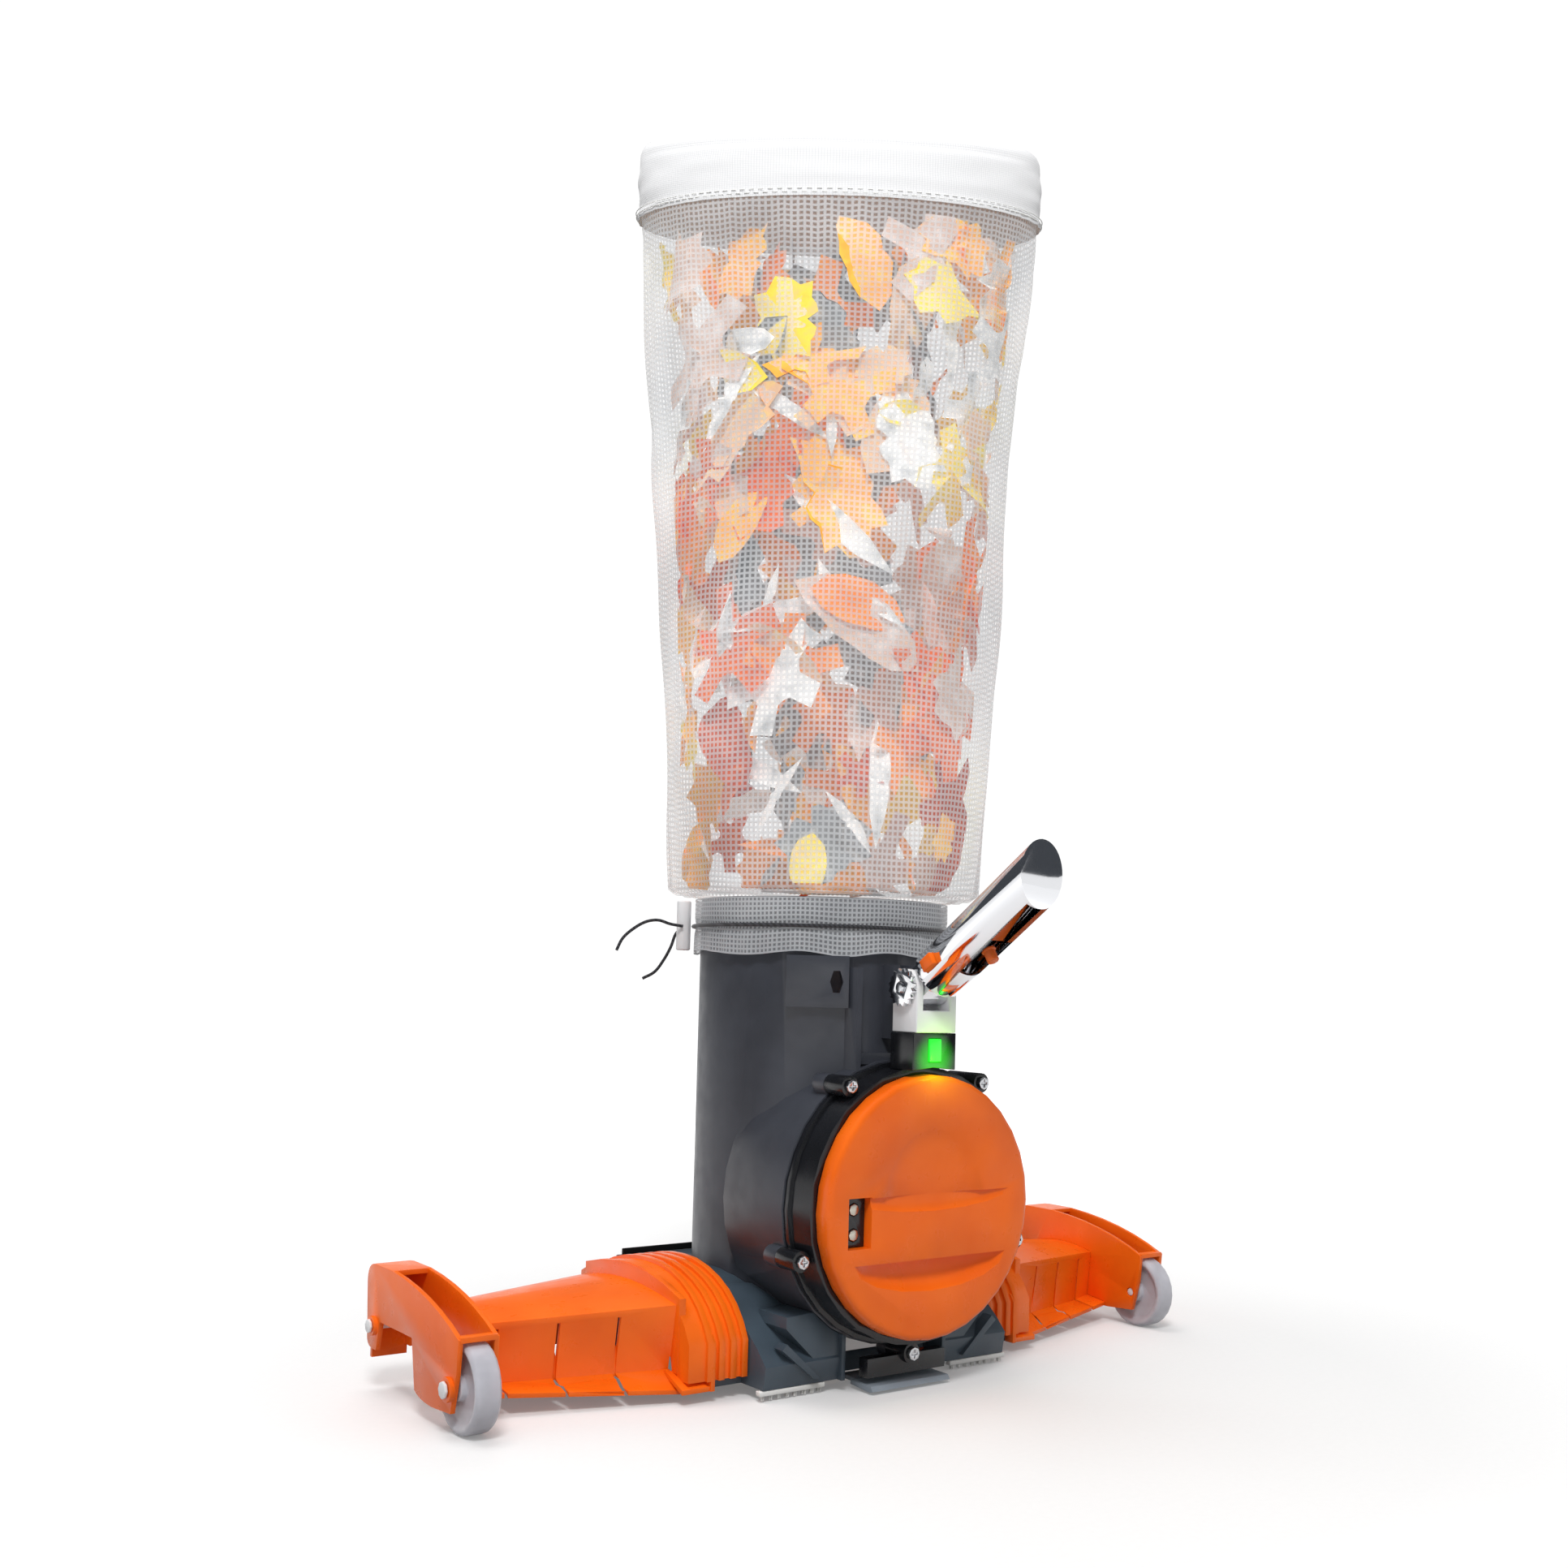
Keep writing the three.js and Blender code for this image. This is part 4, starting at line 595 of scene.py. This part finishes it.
# Lets the cloth find its own small wrinkles, held at both ends, and never far from where it started.
def settleCloth(piece, held):
    s = clothSizes
    start = [vertex.co.copy() for vertex in piece.data.vertices]
    group = piece.vertex_groups.new(name="held")
    group.add([i for i, co in enumerate(start) if held(co)], 1.0, "REPLACE")
    cloth = piece.modifiers.new("cloth", "CLOTH")
    values = cloth.settings
    values.quality, values.mass = s["quality"], s["mass"]
    values.tension_stiffness, values.compression_stiffness = s["tension"], s["compression"]
    values.shear_stiffness, values.bending_stiffness = s["shear"], s["bending"]
    values.vertex_group_mass = "held"
    values.effector_weights.gravity = s["gravity"]
    values.use_pressure, values.uniform_pressure_force = True, s["pressure"]
    values.shrink_min = -s["grow"]
    cloth.collision_settings.use_collision = False
    cloth.point_cache.frame_start, cloth.point_cache.frame_end = 1, s["frames"]
    for step in range(1, s["frames"] + 1):
        bpy.context.scene.frame_set(step)
    applyAll(piece)
    bpy.context.scene.frame_set(1)
    most = s["mostMove"] * mm
    for vertex, co in zip(piece.data.vertices, start):
        move = vertex.co - co
        if move.length > most:
            vertex.co = co + move * (most / move.length)


# the net bag, from its gathered mouth up to under the band
def makeBagNet():
    s = bagSizes
    piece = openTube("bagNet", s["around"], s["rows"])
    low = s["sections"][0][0] + 0.4
    high = s["bandBottom"] + s["hemDepth"]

    def heightOf(level):
        return low + (high - low) * level ** 1.15 if level < 1 else high

    shapeTube(
        piece, lambda angle, z: bagPoint(angle, z, s["cloth"] + bagFold(angle, z)), heightOf, s["clothWidth"],
    )
    ends = (low + 3) * mm, (s["bandBottom"] - 1) * mm
    settleCloth(piece, lambda co: co.z < ends[0] or co.z > ends[1])
    finishPiece(piece, "head", "net", ["bag_body"], smoothAngle=80)
    print("net area", round(sum(face.area for face in piece.data.polygons), 4))
    piece.visible_shadow = False  # an open net lets most of the light through


makeBagNet()
print("bag net shaped")


bandSizes = {
    # rows of the mesh, and the share of them in the wall; the rest closes over the top
    "rows": 30, "wallShare": 0.7,
    # mm
    "wallTop": 704.0, "crown": 12.5, "cornerIn": 13, "sideIn": 22, "sag": 1.2,
    # shares of the half-width
    "soft": 0.012, "pucker": 0.005, "puckers": 46, "lip": 0.014, "cloth": 0.993,
    # metres
    "clothWidth": 0.6, "clothHeight": 0.062, "flat": (0.57, 0.064),
}


# the white band: a soft wall sewn over the net's upper edge, closing over the top to a narrow seam
def makeBand():
    s, b = bagSizes, bandSizes
    piece = openTube("bagBand", s["around"], b["rows"])
    low, wallTop = s["bandBottom"], b["wallTop"]

    def place(angle, level):
        wall = min(level / b["wallShare"], 1)
        over = max(level - b["wallShare"], 0) / (1 - b["wallShare"]) * math.pi / 2
        z = low + (wallTop - low) * wall
        soft = b["soft"] * noise.noise(Vector((3 * math.cos(angle), 3 * math.sin(angle), 4 * wall)))
        pucker = b["pucker"] * math.sin(b["puckers"] * angle) * math.exp(-wall * 9)
        lip = b["lip"] * math.exp(-((wall - 0.05) / 0.07) ** 2)
        width, depth = bagHalf(z)
        share = b["cloth"] + soft + pucker + lip
        sag = b["sag"] * noise.noise(Vector((2.0 * math.cos(angle), 0.4 * math.sin(angle), 9.0)))
        u = (width * share - b["cornerIn"] * (1 - math.cos(over))) * math.cos(angle)
        v = (depth * share - b["sideIn"] * (1 - math.cos(over))) * math.sin(angle)
        return turned(u, v, z + (b["crown"] + sag) * math.sin(over))

    shapeTube(piece, place, lambda level: level, b["clothWidth"], upScale=b["clothHeight"])
    pick(piece)
    bpy.ops.object.mode_set(mode="EDIT")
    bpy.ops.mesh.select_all(action="DESELECT")
    shape = bmesh.from_edit_mesh(piece.data)
    for edge in shape.edges:
        edge.select = edge.is_boundary and all(v.co.z > (wallTop + 2) * mm for v in edge.verts)
    bmesh.update_edit_mesh(piece.data)
    bpy.ops.mesh.edge_face_add()  # the seam along the top
    bpy.ops.mesh.poke()
    bpy.ops.object.mode_set(mode="OBJECT")
    finishPiece(piece, "head", "band", ["bag_top_band"], smoothAngle=75)
    print("band area", round(sum(face.area for face in piece.data.polygons), 4))


makeBand()


stitchSizes = {"rises": (2.2, 4.6), "count": 130, "radius": 0.35, "length": 3.0, "edge": 0.15, "reach": 1.010}


# two rows of stitches through the band's hem
def makeStitches():
    s = stitchSizes
    stitches = []
    for row, rise in enumerate(s["rises"]):
        z = bagSizes["bandBottom"] + rise
        for i in range(s["count"]):
            angle = 2 * math.pi * (i + 0.5 * row) / s["count"]
            here, ahead = bagPoint(angle, z, s["reach"]), bagPoint(angle + 0.01, z, s["reach"])
            stitches.append((here, (ahead - here).normalized()))
    bpy.ops.mesh.primitive_cylinder_add(vertices=6, radius=s["radius"] * mm, depth=s["length"] * mm)
    first = newest("bandStitching")
    bpy.ops.object.mode_set(mode="EDIT")
    bpy.ops.mesh.select_all(action="SELECT")
    bpy.ops.mesh.bevel(offset=s["edge"] * mm, segments=1)
    bpy.ops.object.mode_set(mode="OBJECT")
    pieces = []
    for here, along in stitches:
        copy = first.copy()
        copy.data = first.data.copy()
        copy.data.transform(Matrix.Translation(here) @ along.to_track_quat("Z", "Y").to_matrix().to_4x4())
        bpy.context.scene.collection.objects.link(copy)
        pieces.append(copy)
    bpy.data.objects.remove(first)
    piece = joinPieces(pieces, "bandStitching")
    finishPiece(piece, "head", "cord", smoothAngle=60)
    piece.data.materials[0] = finishes["bristle"]


makeStitches()
print("band sewn")

cuffSizes = {
    "around": 120, "rows": 18, "inner": 71.6, "top": 261.5, "hem": 229.6, "wave": 2.6, "ruffle": 0.7,
    "slack": 1.1, "clearance": 0.5, "wall": 0.5, "cordLevel": 0.5,
    "cloth": 0.47, "flat": (0.47, 0.033), "area": 0.0140,  # metres
}


# the grey net cuff under the bag, gathered by the cord, with a wavy loose hem
def makeCuff():
    s = cuffSizes
    piece = openTube("bagCuff", s["around"], s["rows"])
    rise = s["top"] - s["hem"]

    def place(angle, z):
        level = (z - s["hem"]) / rise
        loose = 1 - level
        wave = s["wave"] * (0.5 + 0.5 * math.sin(7 * angle + 0.8 * math.sin(3 * angle)))
        ruffle = s["ruffle"] * math.sin(31 * angle) * loose + s["clearance"]
        pinch = math.exp(-((level - s["cordLevel"]) / 0.10) ** 2)
        radius = s["inner"] + ruffle + s["slack"] * (1 - pinch)
        height = z + wave * loose
        return Vector((radius * mm * math.cos(angle), radius * mm * math.sin(angle) + axisY, height * mm))

    shapeTube(piece, place, lambda level: s["hem"] + rise * level, s["cloth"])
    wall = piece.modifiers.new("thickness", "SOLIDIFY")
    wall.thickness, wall.offset = s["wall"] * mm, 1
    applyAll(piece)
    finishPiece(piece, "head", "cuffNet", ["bag_cuff"], smoothAngle=70)
    print("cuff area, both faces", round(sum(face.area for face in piece.data.polygons), 4))


makeCuff()
print("cuff made")


# leaves
leafSizes = {
    "inner": 110, "outer": 185, "seed": 7,
    "low": 276, "high": 652, "below": 7, "above": 8,  # mm
    # shares of the bag's half-width, and half-lengths in mm
    "innerReach": (0.3, 0.68), "outerReach": (0.8, 0.9), "mostReach": 0.905,
    "innerLength": (26, 40), "outerLength": (16, 40),
    # inner leaves: real leaf tones, and tone 0.97, the grey of painted shade for the bag's shadowed inside
    "innerTonesWithShadeGrey": (0.97, 0.97, 0.76, 0.42, 0.28), "shredTone": 0.88,
}
# tones by height: lower, middle and upper thirds of the bag
leafTones = [
    (0.0, 0.12, 0.28, 0.28, 0.42, 0.42, 0.55, 0.76, 0.88),
    (0.12, 0.28, 0.42, 0.42, 0.55, 0.66, 0.76, 0.88),
    (0.42, 0.55, 0.66, 0.66, 0.76, 0.76, 0.88, 0.88),
]


# Leaf outlines: reach from the middle by angle, one dent or lobe at a time.
def leafReach(kind, angle):
    if kind == "maple":
        lobes = abs(math.cos(2.5 * (angle - math.pi / 2)))
        return 0.38 + 0.62 * lobes ** 1.7 + 0.08 * math.sin(15 * angle)
    if kind == "oak":
        return (0.55 + 0.45 * abs(math.sin(angle))) * (0.86 + 0.14 * math.cos(9 * angle))
    if kind == "beech":
        return 0.42 / math.sqrt((math.cos(angle)) ** 2 + (0.42 * math.sin(angle)) ** 2)
    return 0.16 / math.sqrt((math.cos(angle)) ** 2 + (0.16 * math.sin(angle)) ** 2) * (
        0.8 + 0.3 * abs(math.sin(11 * angle)))


leafSegments = {"maple": 30, "oak": 24, "beech": 16, "shred": 22}


# one flat leaf of a kind, cupped along its middle
def leafPattern(kind):
    bpy.ops.mesh.primitive_circle_add(vertices=leafSegments[kind], radius=1, fill_type="TRIFAN")
    piece = newest("leaf" + kind)
    for vertex in piece.data.vertices:
        angle = math.atan2(vertex.co.y, vertex.co.x)
        if vertex.co.length > 0.5:
            vertex.co = vertex.co.normalized() * leafReach(kind, angle)
        vertex.co.z = 0.22 * abs(vertex.co.x) - 0.10 * vertex.co.y ** 2 + 0.05 * math.sin(5 * angle)
    return piece


# brings a point in until it is within a share of the bag's half-width
def insideBag(co, share):
    turn = -math.radians(bagSizes["turn"])
    x, y = co.x, co.y - axisY
    u, v = x * math.cos(turn) - y * math.sin(turn), x * math.sin(turn) + y * math.cos(turn)
    width, depth = bagHalf(co.z / mm)
    reach = math.hypot(u / (width * mm), v / (depth * mm))
    if reach > share:
        scale = share / reach
        return Vector((co.x * scale, (co.y - axisY) * scale + axisY, co.z))
    return co


def makeLeaves():
    s = leafSizes
    draw = random.Random(s["seed"])
    patterns = {kind: leafPattern(kind) for kind in leafSegments}
    pieces = []
    for i in range(s["inner"] + s["outer"]):
        inner = i < s["inner"]
        level = draw.random()
        z = s["low"] + (s["high"] - s["low"]) * level
        angle = draw.uniform(0, 2 * math.pi)
        deep = draw.uniform(*s["innerReach"]) if inner else draw.uniform(*s["outerReach"])
        low = level < 0.4
        kind = draw.choices(("maple", "oak", "beech", "shred"), (5, 3, 3, 6 if low and not inner else 2))[0]
        size = draw.uniform(*s["innerLength"]) * mm if inner else draw.uniform(*s["outerLength"]) * mm
        at = bagPoint(angle, z, deep)
        out = (at - Vector((0, axisY, at.z))).normalized()
        tilt = Vector((draw.gauss(0, 0.3), draw.gauss(0, 0.3), draw.gauss(0, 0.3)))
        face = (out + tilt).normalized()
        turn = face.to_track_quat("Z", "Y") @ Matrix.Rotation(draw.uniform(0, 6.28), 3, "Z").to_quaternion()
        copy = patterns[kind].copy()
        copy.data = patterns[kind].data.copy()
        matrix = Matrix.Translation(at) @ turn.to_matrix().to_4x4() @ Matrix.Diagonal(
            (size, size * draw.uniform(0.8, 1.15), size * draw.uniform(0.4, 1.2), 1))
        copy.data.transform(matrix)
        tone = draw.choice(leafTones[0 if level < 0.3 else 1 if level < 0.64 else 2])
        # inner leaves draw from tones that include the painted-shade grey
        if inner:
            tone = draw.choice(s["innerTonesWithShadeGrey"])
        elif kind == "shred":
            tone = s["shredTone"]
        marks = copy.data.attributes.new("tone", "FLOAT", "POINT")
        for vertex in copy.data.vertices:
            vertex.co.z = min(max(vertex.co.z, (s["low"] - s["below"]) * mm), (s["high"] + s["above"]) * mm)
            vertex.co = insideBag(vertex.co, s["mostReach"])
            marks.data[vertex.index].value = tone + 0.02 * draw.random()
        bpy.context.scene.collection.objects.link(copy)
        pieces.append(copy)
    for pattern in patterns.values():
        bpy.data.objects.remove(pattern)
    piece = joinPieces(pieces, "caughtLeaves")
    return finishPiece(piece, "head", "leaf", smoothAngle=50)


makeLeaves()
print("leaves placed")


# brushes
brushSizes = {
    "perTuft": 22, "strand": 0.28, "tip": 0.6, "holder": 2.7, "rooted": 0.4, "end": 1.5, "edge": 0.5,
}


# tufts of bristles in a rounded holder; each bristle is a thin prism that narrows to its tip
def makeBristles(node, name, tufts, halfTuft):
    s = brushSizes
    low, high = (Vector(corner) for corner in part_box(node))
    draw = random.Random(name)
    thick = s["strand"] * mm
    bpy.ops.mesh.primitive_cone_add(vertices=5, radius1=s["tip"] * thick, radius2=thick, depth=1)
    first = newest(name)
    pieces = []
    top = high.z - s["holder"] * mm + s["rooted"] * mm
    length = top - low.z
    reach = high.x - low.x
    centre = (low + high) / 2
    pitch = (reach - 2 * (halfTuft + s["end"]) * mm) / (tufts - 1)
    for i in range(tufts):
        x = low.x + (halfTuft + s["end"]) * mm + i * pitch
        for j in range(s["perTuft"]):
            across = draw.uniform(-1, 1) * halfTuft * mm * 0.85
            at = Vector((x + across, centre.y + draw.uniform(-1, 1) * mm, 0))
            tall = length * draw.uniform(0.9, 1.0) if j else length
            copy = first.copy()
            copy.data = first.data.copy()
            copy.data.transform(
                Matrix.Translation(at + Vector((0, 0, top - tall / 2))) @ Matrix.Diagonal((1, 1, tall, 1)))
            bpy.context.scene.collection.objects.link(copy)
            pieces.append(copy)
    bpy.data.objects.remove(first)
    bpy.ops.mesh.primitive_cube_add(size=1)
    holder = newest(name + "Holder")
    for vertex in holder.data.vertices:
        vertex.co = Vector((
            centre.x + vertex.co.x * reach, centre.y + vertex.co.y * (high.y - low.y),
            high.z - (0.5 - vertex.co.z) * s["holder"] * mm,
        ))
    edge = holder.modifiers.new("roundedEdge", "BEVEL")
    edge.width, edge.segments = s["edge"] * mm, 2
    applyAll(holder)
    piece = joinPieces([holder, *pieces], name)
    return finishPiece(piece, "head", "bristle", [node], smoothAngle=50)


makeBristles("front_brush_left", "frontBrushLeft", 8, 1.3)
makeBristles("front_brush_right", "frontBrushRight", 8, 1.3)
makeBristles("rear_brush", "rearBrush", 15, 2.6)
print("brushes made")


# drawstring tails
tailSizes = {
    "diameter": 1.8, "lift": 246.0, "points": 30,
    # out from the lock, along the cuff and up, mm
    "routes": [
        [(0, 5.6, 0), (7, 8, 1), (14, 10, 3), (21, 9, 2), (28, 9, -2), (34, 12, -8), (37, 15, -15)],
        [(0, -5.6, 0), (5, -8, -4), (8, -9, -12), (12, -8, -20), (17, -7, -27), (24, -8, -31)],
    ],
}


# The same smooth curve through the points that the solid follows: centripetal Catmull-Rom.
def smoothRoute(points, count):
    points = [Vector(p) for p in points]
    first, last = 2 * points[0] - points[1], 2 * points[-1] - points[-2]
    chain = [first, *points, last]
    spans = len(points) - 1
    route = []
    for i in range(count):
        t = i / (count - 1) * spans
        k = min(int(t), spans - 1)
        p0, p1, p2, p3 = chain[k:k + 4]
        w = t - k
        d0, d1, d2 = ((b - a).length ** 0.5 for a, b in ((p0, p1), (p1, p2), (p2, p3)))
        m1 = ((p1 - p0) / d0 - (p2 - p0) / (d0 + d1) + (p2 - p1) / d1) * d1
        m2 = ((p2 - p1) / d1 - (p3 - p1) / (d1 + d2) + (p3 - p2) / d2) * d1
        route.append(
            p1 + m1 * w + (3 * (p2 - p1) - 2 * m1 - m2) * w ** 2 + (2 * (p1 - p2) + m1 + m2) * w ** 3)
    return route


# one loose tail, out of the lock and hanging
def makeTail(index):
    s = tailSizes
    lockAngle = math.radians(180 + bagSizes["turn"])
    out = Vector((math.cos(lockAngle), math.sin(lockAngle), 0))
    along = Vector((-out.y, out.x, 0))
    centre = middle("cord_lock")
    base = Vector((centre.x, centre.y, s["lift"] * mm))
    up = Vector((0, 0, 1))
    points = [base + (out * a + along * b + up * c) * mm for a, b, c in s["routes"][index]]
    route = smoothRoute(points, s["points"])
    data = bpy.data.curves.new(f"stringTail{index + 1}", "CURVE")
    data.dimensions = "3D"
    data.bevel_depth, data.bevel_resolution = s["diameter"] / 2 * mm, 3
    data.use_fill_caps = True
    spline = data.splines.new("POLY")
    spline.points.add(len(route) - 1)
    for point, co in zip(spline.points, route):
        point.co = (*co, 1)
    piece = bpy.data.objects.new(data.name, data)
    bpy.context.scene.collection.objects.link(piece)
    data.materials.append(finishes["cord"])
    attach(piece, "head")
    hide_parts(f"string_tail_{index + 1}")


makeTail(0)
makeTail(1)


# studio
studio = {
    "floorSize": 60, "glowNear": 0.16, "glowFar": 0.75, "glowFrom": 0.30, "glowTo": 1.3,
    "glowBounce": 0.15, "sky": 0.46, "skySeen": 1.05,
    "ringRadius": 1.0, "ringLow": 0.339, "ringHigh": 1.5,
    # lamp: place in metres, size in metres, power in watts
    "lamps": [
        ("keyLight", (-0.9, -1.1, 1.9), 0.5, 26.0), ("fillLight", (1.5, -1.4, 1.0), 1.4, 2.0),
        ("rimLight", (0.6, 1.6, 1.5), 1.0, 5.0), ("topLight", (-0.3, 0.35, 2.2), 1.0, 16.0),
    ],
    "aimHeight": 0.25, "statusGlow": 0.018,
}


# white paper, which keeps white to the eye and hardly lights the object from below
def makeFloor():
    s = studio
    bpy.ops.mesh.primitive_plane_add(size=s["floorSize"], location=(0, 0, 0))
    floor = newest("studioFloor")
    material, tree, shader = startMaterial("matteWhitePaper", **{
        "Roughness": 0.9, "Specular IOR Level": 0.1, "Emission Color": linear("#FFFFFF"),
    })
    place = addNode(tree, "ShaderNodeTexCoord").outputs["Object"]
    tooth = addNode(tree, "ShaderNodeTexNoise", {"Scale": 300.0}, {"Vector": place})
    colour = addNode(
        tree, "ShaderNodeValToRGB", {"ramp": [(0.0, "#DADADA"), (1.0, "#DEDEDE")]},
        {"Fac": tooth.outputs["Fac"]},
    )
    rays = addNode(tree, "ShaderNodeLightPath")
    bounce = addNode(tree, "ShaderNodeMix", {"data_type": "RGBA", 7: linear("#A0A0A0")}, {
        0: rays.outputs["Is Diffuse Ray"], 6: colour.outputs["Color"],
    })
    tree.links.new(bounce.outputs[2], shader.inputs["Base Color"])
    away = addNode(tree, "ShaderNodeVectorMath", {"operation": "LENGTH"}, {0: place})
    glow = addNode(
        tree, "ShaderNodeMapRange", {
            "From Min": s["glowFrom"], "From Max": s["glowTo"],
            "To Min": s["glowNear"], "To Max": s["glowFar"],
        },
        {"Value": away.outputs["Value"]},
    )
    dimmed = addNode(
        tree, "ShaderNodeMapRange", {"To Min": 1.0, "To Max": s["glowBounce"]},
        {"Value": rays.outputs["Is Diffuse Ray"]},
    )
    seen = addNode(
        tree, "ShaderNodeMath", {"operation": "MULTIPLY"}, {0: glow.outputs[0], 1: dimmed.outputs[0]})
    tree.links.new(seen.outputs[0], shader.inputs["Emission Strength"])
    floor.data.materials.append(material)


# a dark curtain round the set that only reflections see
def makeCurtain():
    s = studio
    height = s["ringHigh"] - s["ringLow"]
    bpy.ops.mesh.primitive_cylinder_add(
        vertices=96, radius=s["ringRadius"], depth=height, end_fill_type="NOTHING",
        location=(0, 0, s["ringLow"] + height / 2),
    )
    curtain = newest("darkCurtain")
    bpy.ops.object.transform_apply(location=True)
    cloth, tree, shader = startMaterial("darkCurtainCloth", **{
        "Base Color": linear("#2A2C30"), "Roughness": 1.0, "Emission Color": linear("#34373B"),
        "Emission Strength": 1.0,
    })
    curtain.data.materials.append(cloth)
    for ray in ("camera", "diffuse", "shadow", "transmission", "volume_scatter"):
        setattr(curtain, "visible_" + ray, False)


# white to the camera, soft to the object, and a bright horizon under a duller top to reflections
def makeSky():
    s = studio
    world = bpy.data.worlds.new("studioSky")
    bpy.context.scene.world = world
    world.use_nodes = True
    tree = world.node_tree
    tree.nodes.clear()
    rays = addNode(tree, "ShaderNodeLightPath")
    white = addNode(tree, "ShaderNodeBackground", {"Color": (1, 1, 1, 1), "Strength": s["sky"]})
    seen = addNode(tree, "ShaderNodeBackground", {"Color": (1, 1, 1, 1), "Strength": s["skySeen"]})
    toward = addNode(tree, "ShaderNodeTexCoord").outputs["Generated"]
    split = addNode(tree, "ShaderNodeSeparateXYZ", {}, {"Vector": toward})
    up = addNode(
        tree, "ShaderNodeMapRange", {"From Min": -1.0, "From Max": 1.0}, {"Value": split.outputs["Z"]})
    around = addNode(tree, "ShaderNodeValToRGB", {"ramp": [(0.7, "#FFFFFF"), (0.85, "#A4A7AB")]}, {
        "Fac": up.outputs["Result"],
    })
    mirrored = addNode(tree, "ShaderNodeBackground", {"Strength": 1.0}, {"Color": around.outputs["Color"]})
    shine = addNode(tree, "ShaderNodeMixShader", {}, {
        0: rays.outputs["Is Glossy Ray"], 1: white.outputs[0], 2: mirrored.outputs[0],
    })
    total = addNode(tree, "ShaderNodeMixShader", {}, {
        0: rays.outputs["Is Camera Ray"], 1: shine.outputs[0], 2: seen.outputs[0],
    })
    addNode(tree, "ShaderNodeOutputWorld", {}, {"Surface": total.outputs[0]})


def makeLamps():
    s = studio
    for name, at, size, power in s["lamps"]:
        data = bpy.data.lights.new(name, "AREA")
        data.energy, data.size = power, size
        lamp = bpy.data.objects.new(name, data)
        lamp.location = at
        toward = Vector((0, 0, s["aimHeight"])) - Vector(at)
        lamp.rotation_euler = toward.to_track_quat("-Z", "Y").to_euler()
        lamp.visible_glossy = False
        bpy.context.scene.collection.objects.link(lamp)
    # the status lamp's green spill on the cover and the yoke
    glow = bpy.data.lights.new("statusGlow", "POINT")
    glow.energy, glow.color, glow.shadow_soft_size = s["statusGlow"], (0.45, 1.0, 0.05), 3 * mm
    lamp = bpy.data.objects.new("statusGlow", glow)
    low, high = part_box("status_lens")
    lamp.location = (0, low[1] - 9 * mm, low[2] - 1 * mm)
    lamp.visible_glossy = False
    bpy.context.scene.collection.objects.link(lamp)


makeFloor()
makeCurtain()
makeSky()
makeLamps()
bpy.context.scene.view_settings.view_transform = "Standard"
print("studio lit")
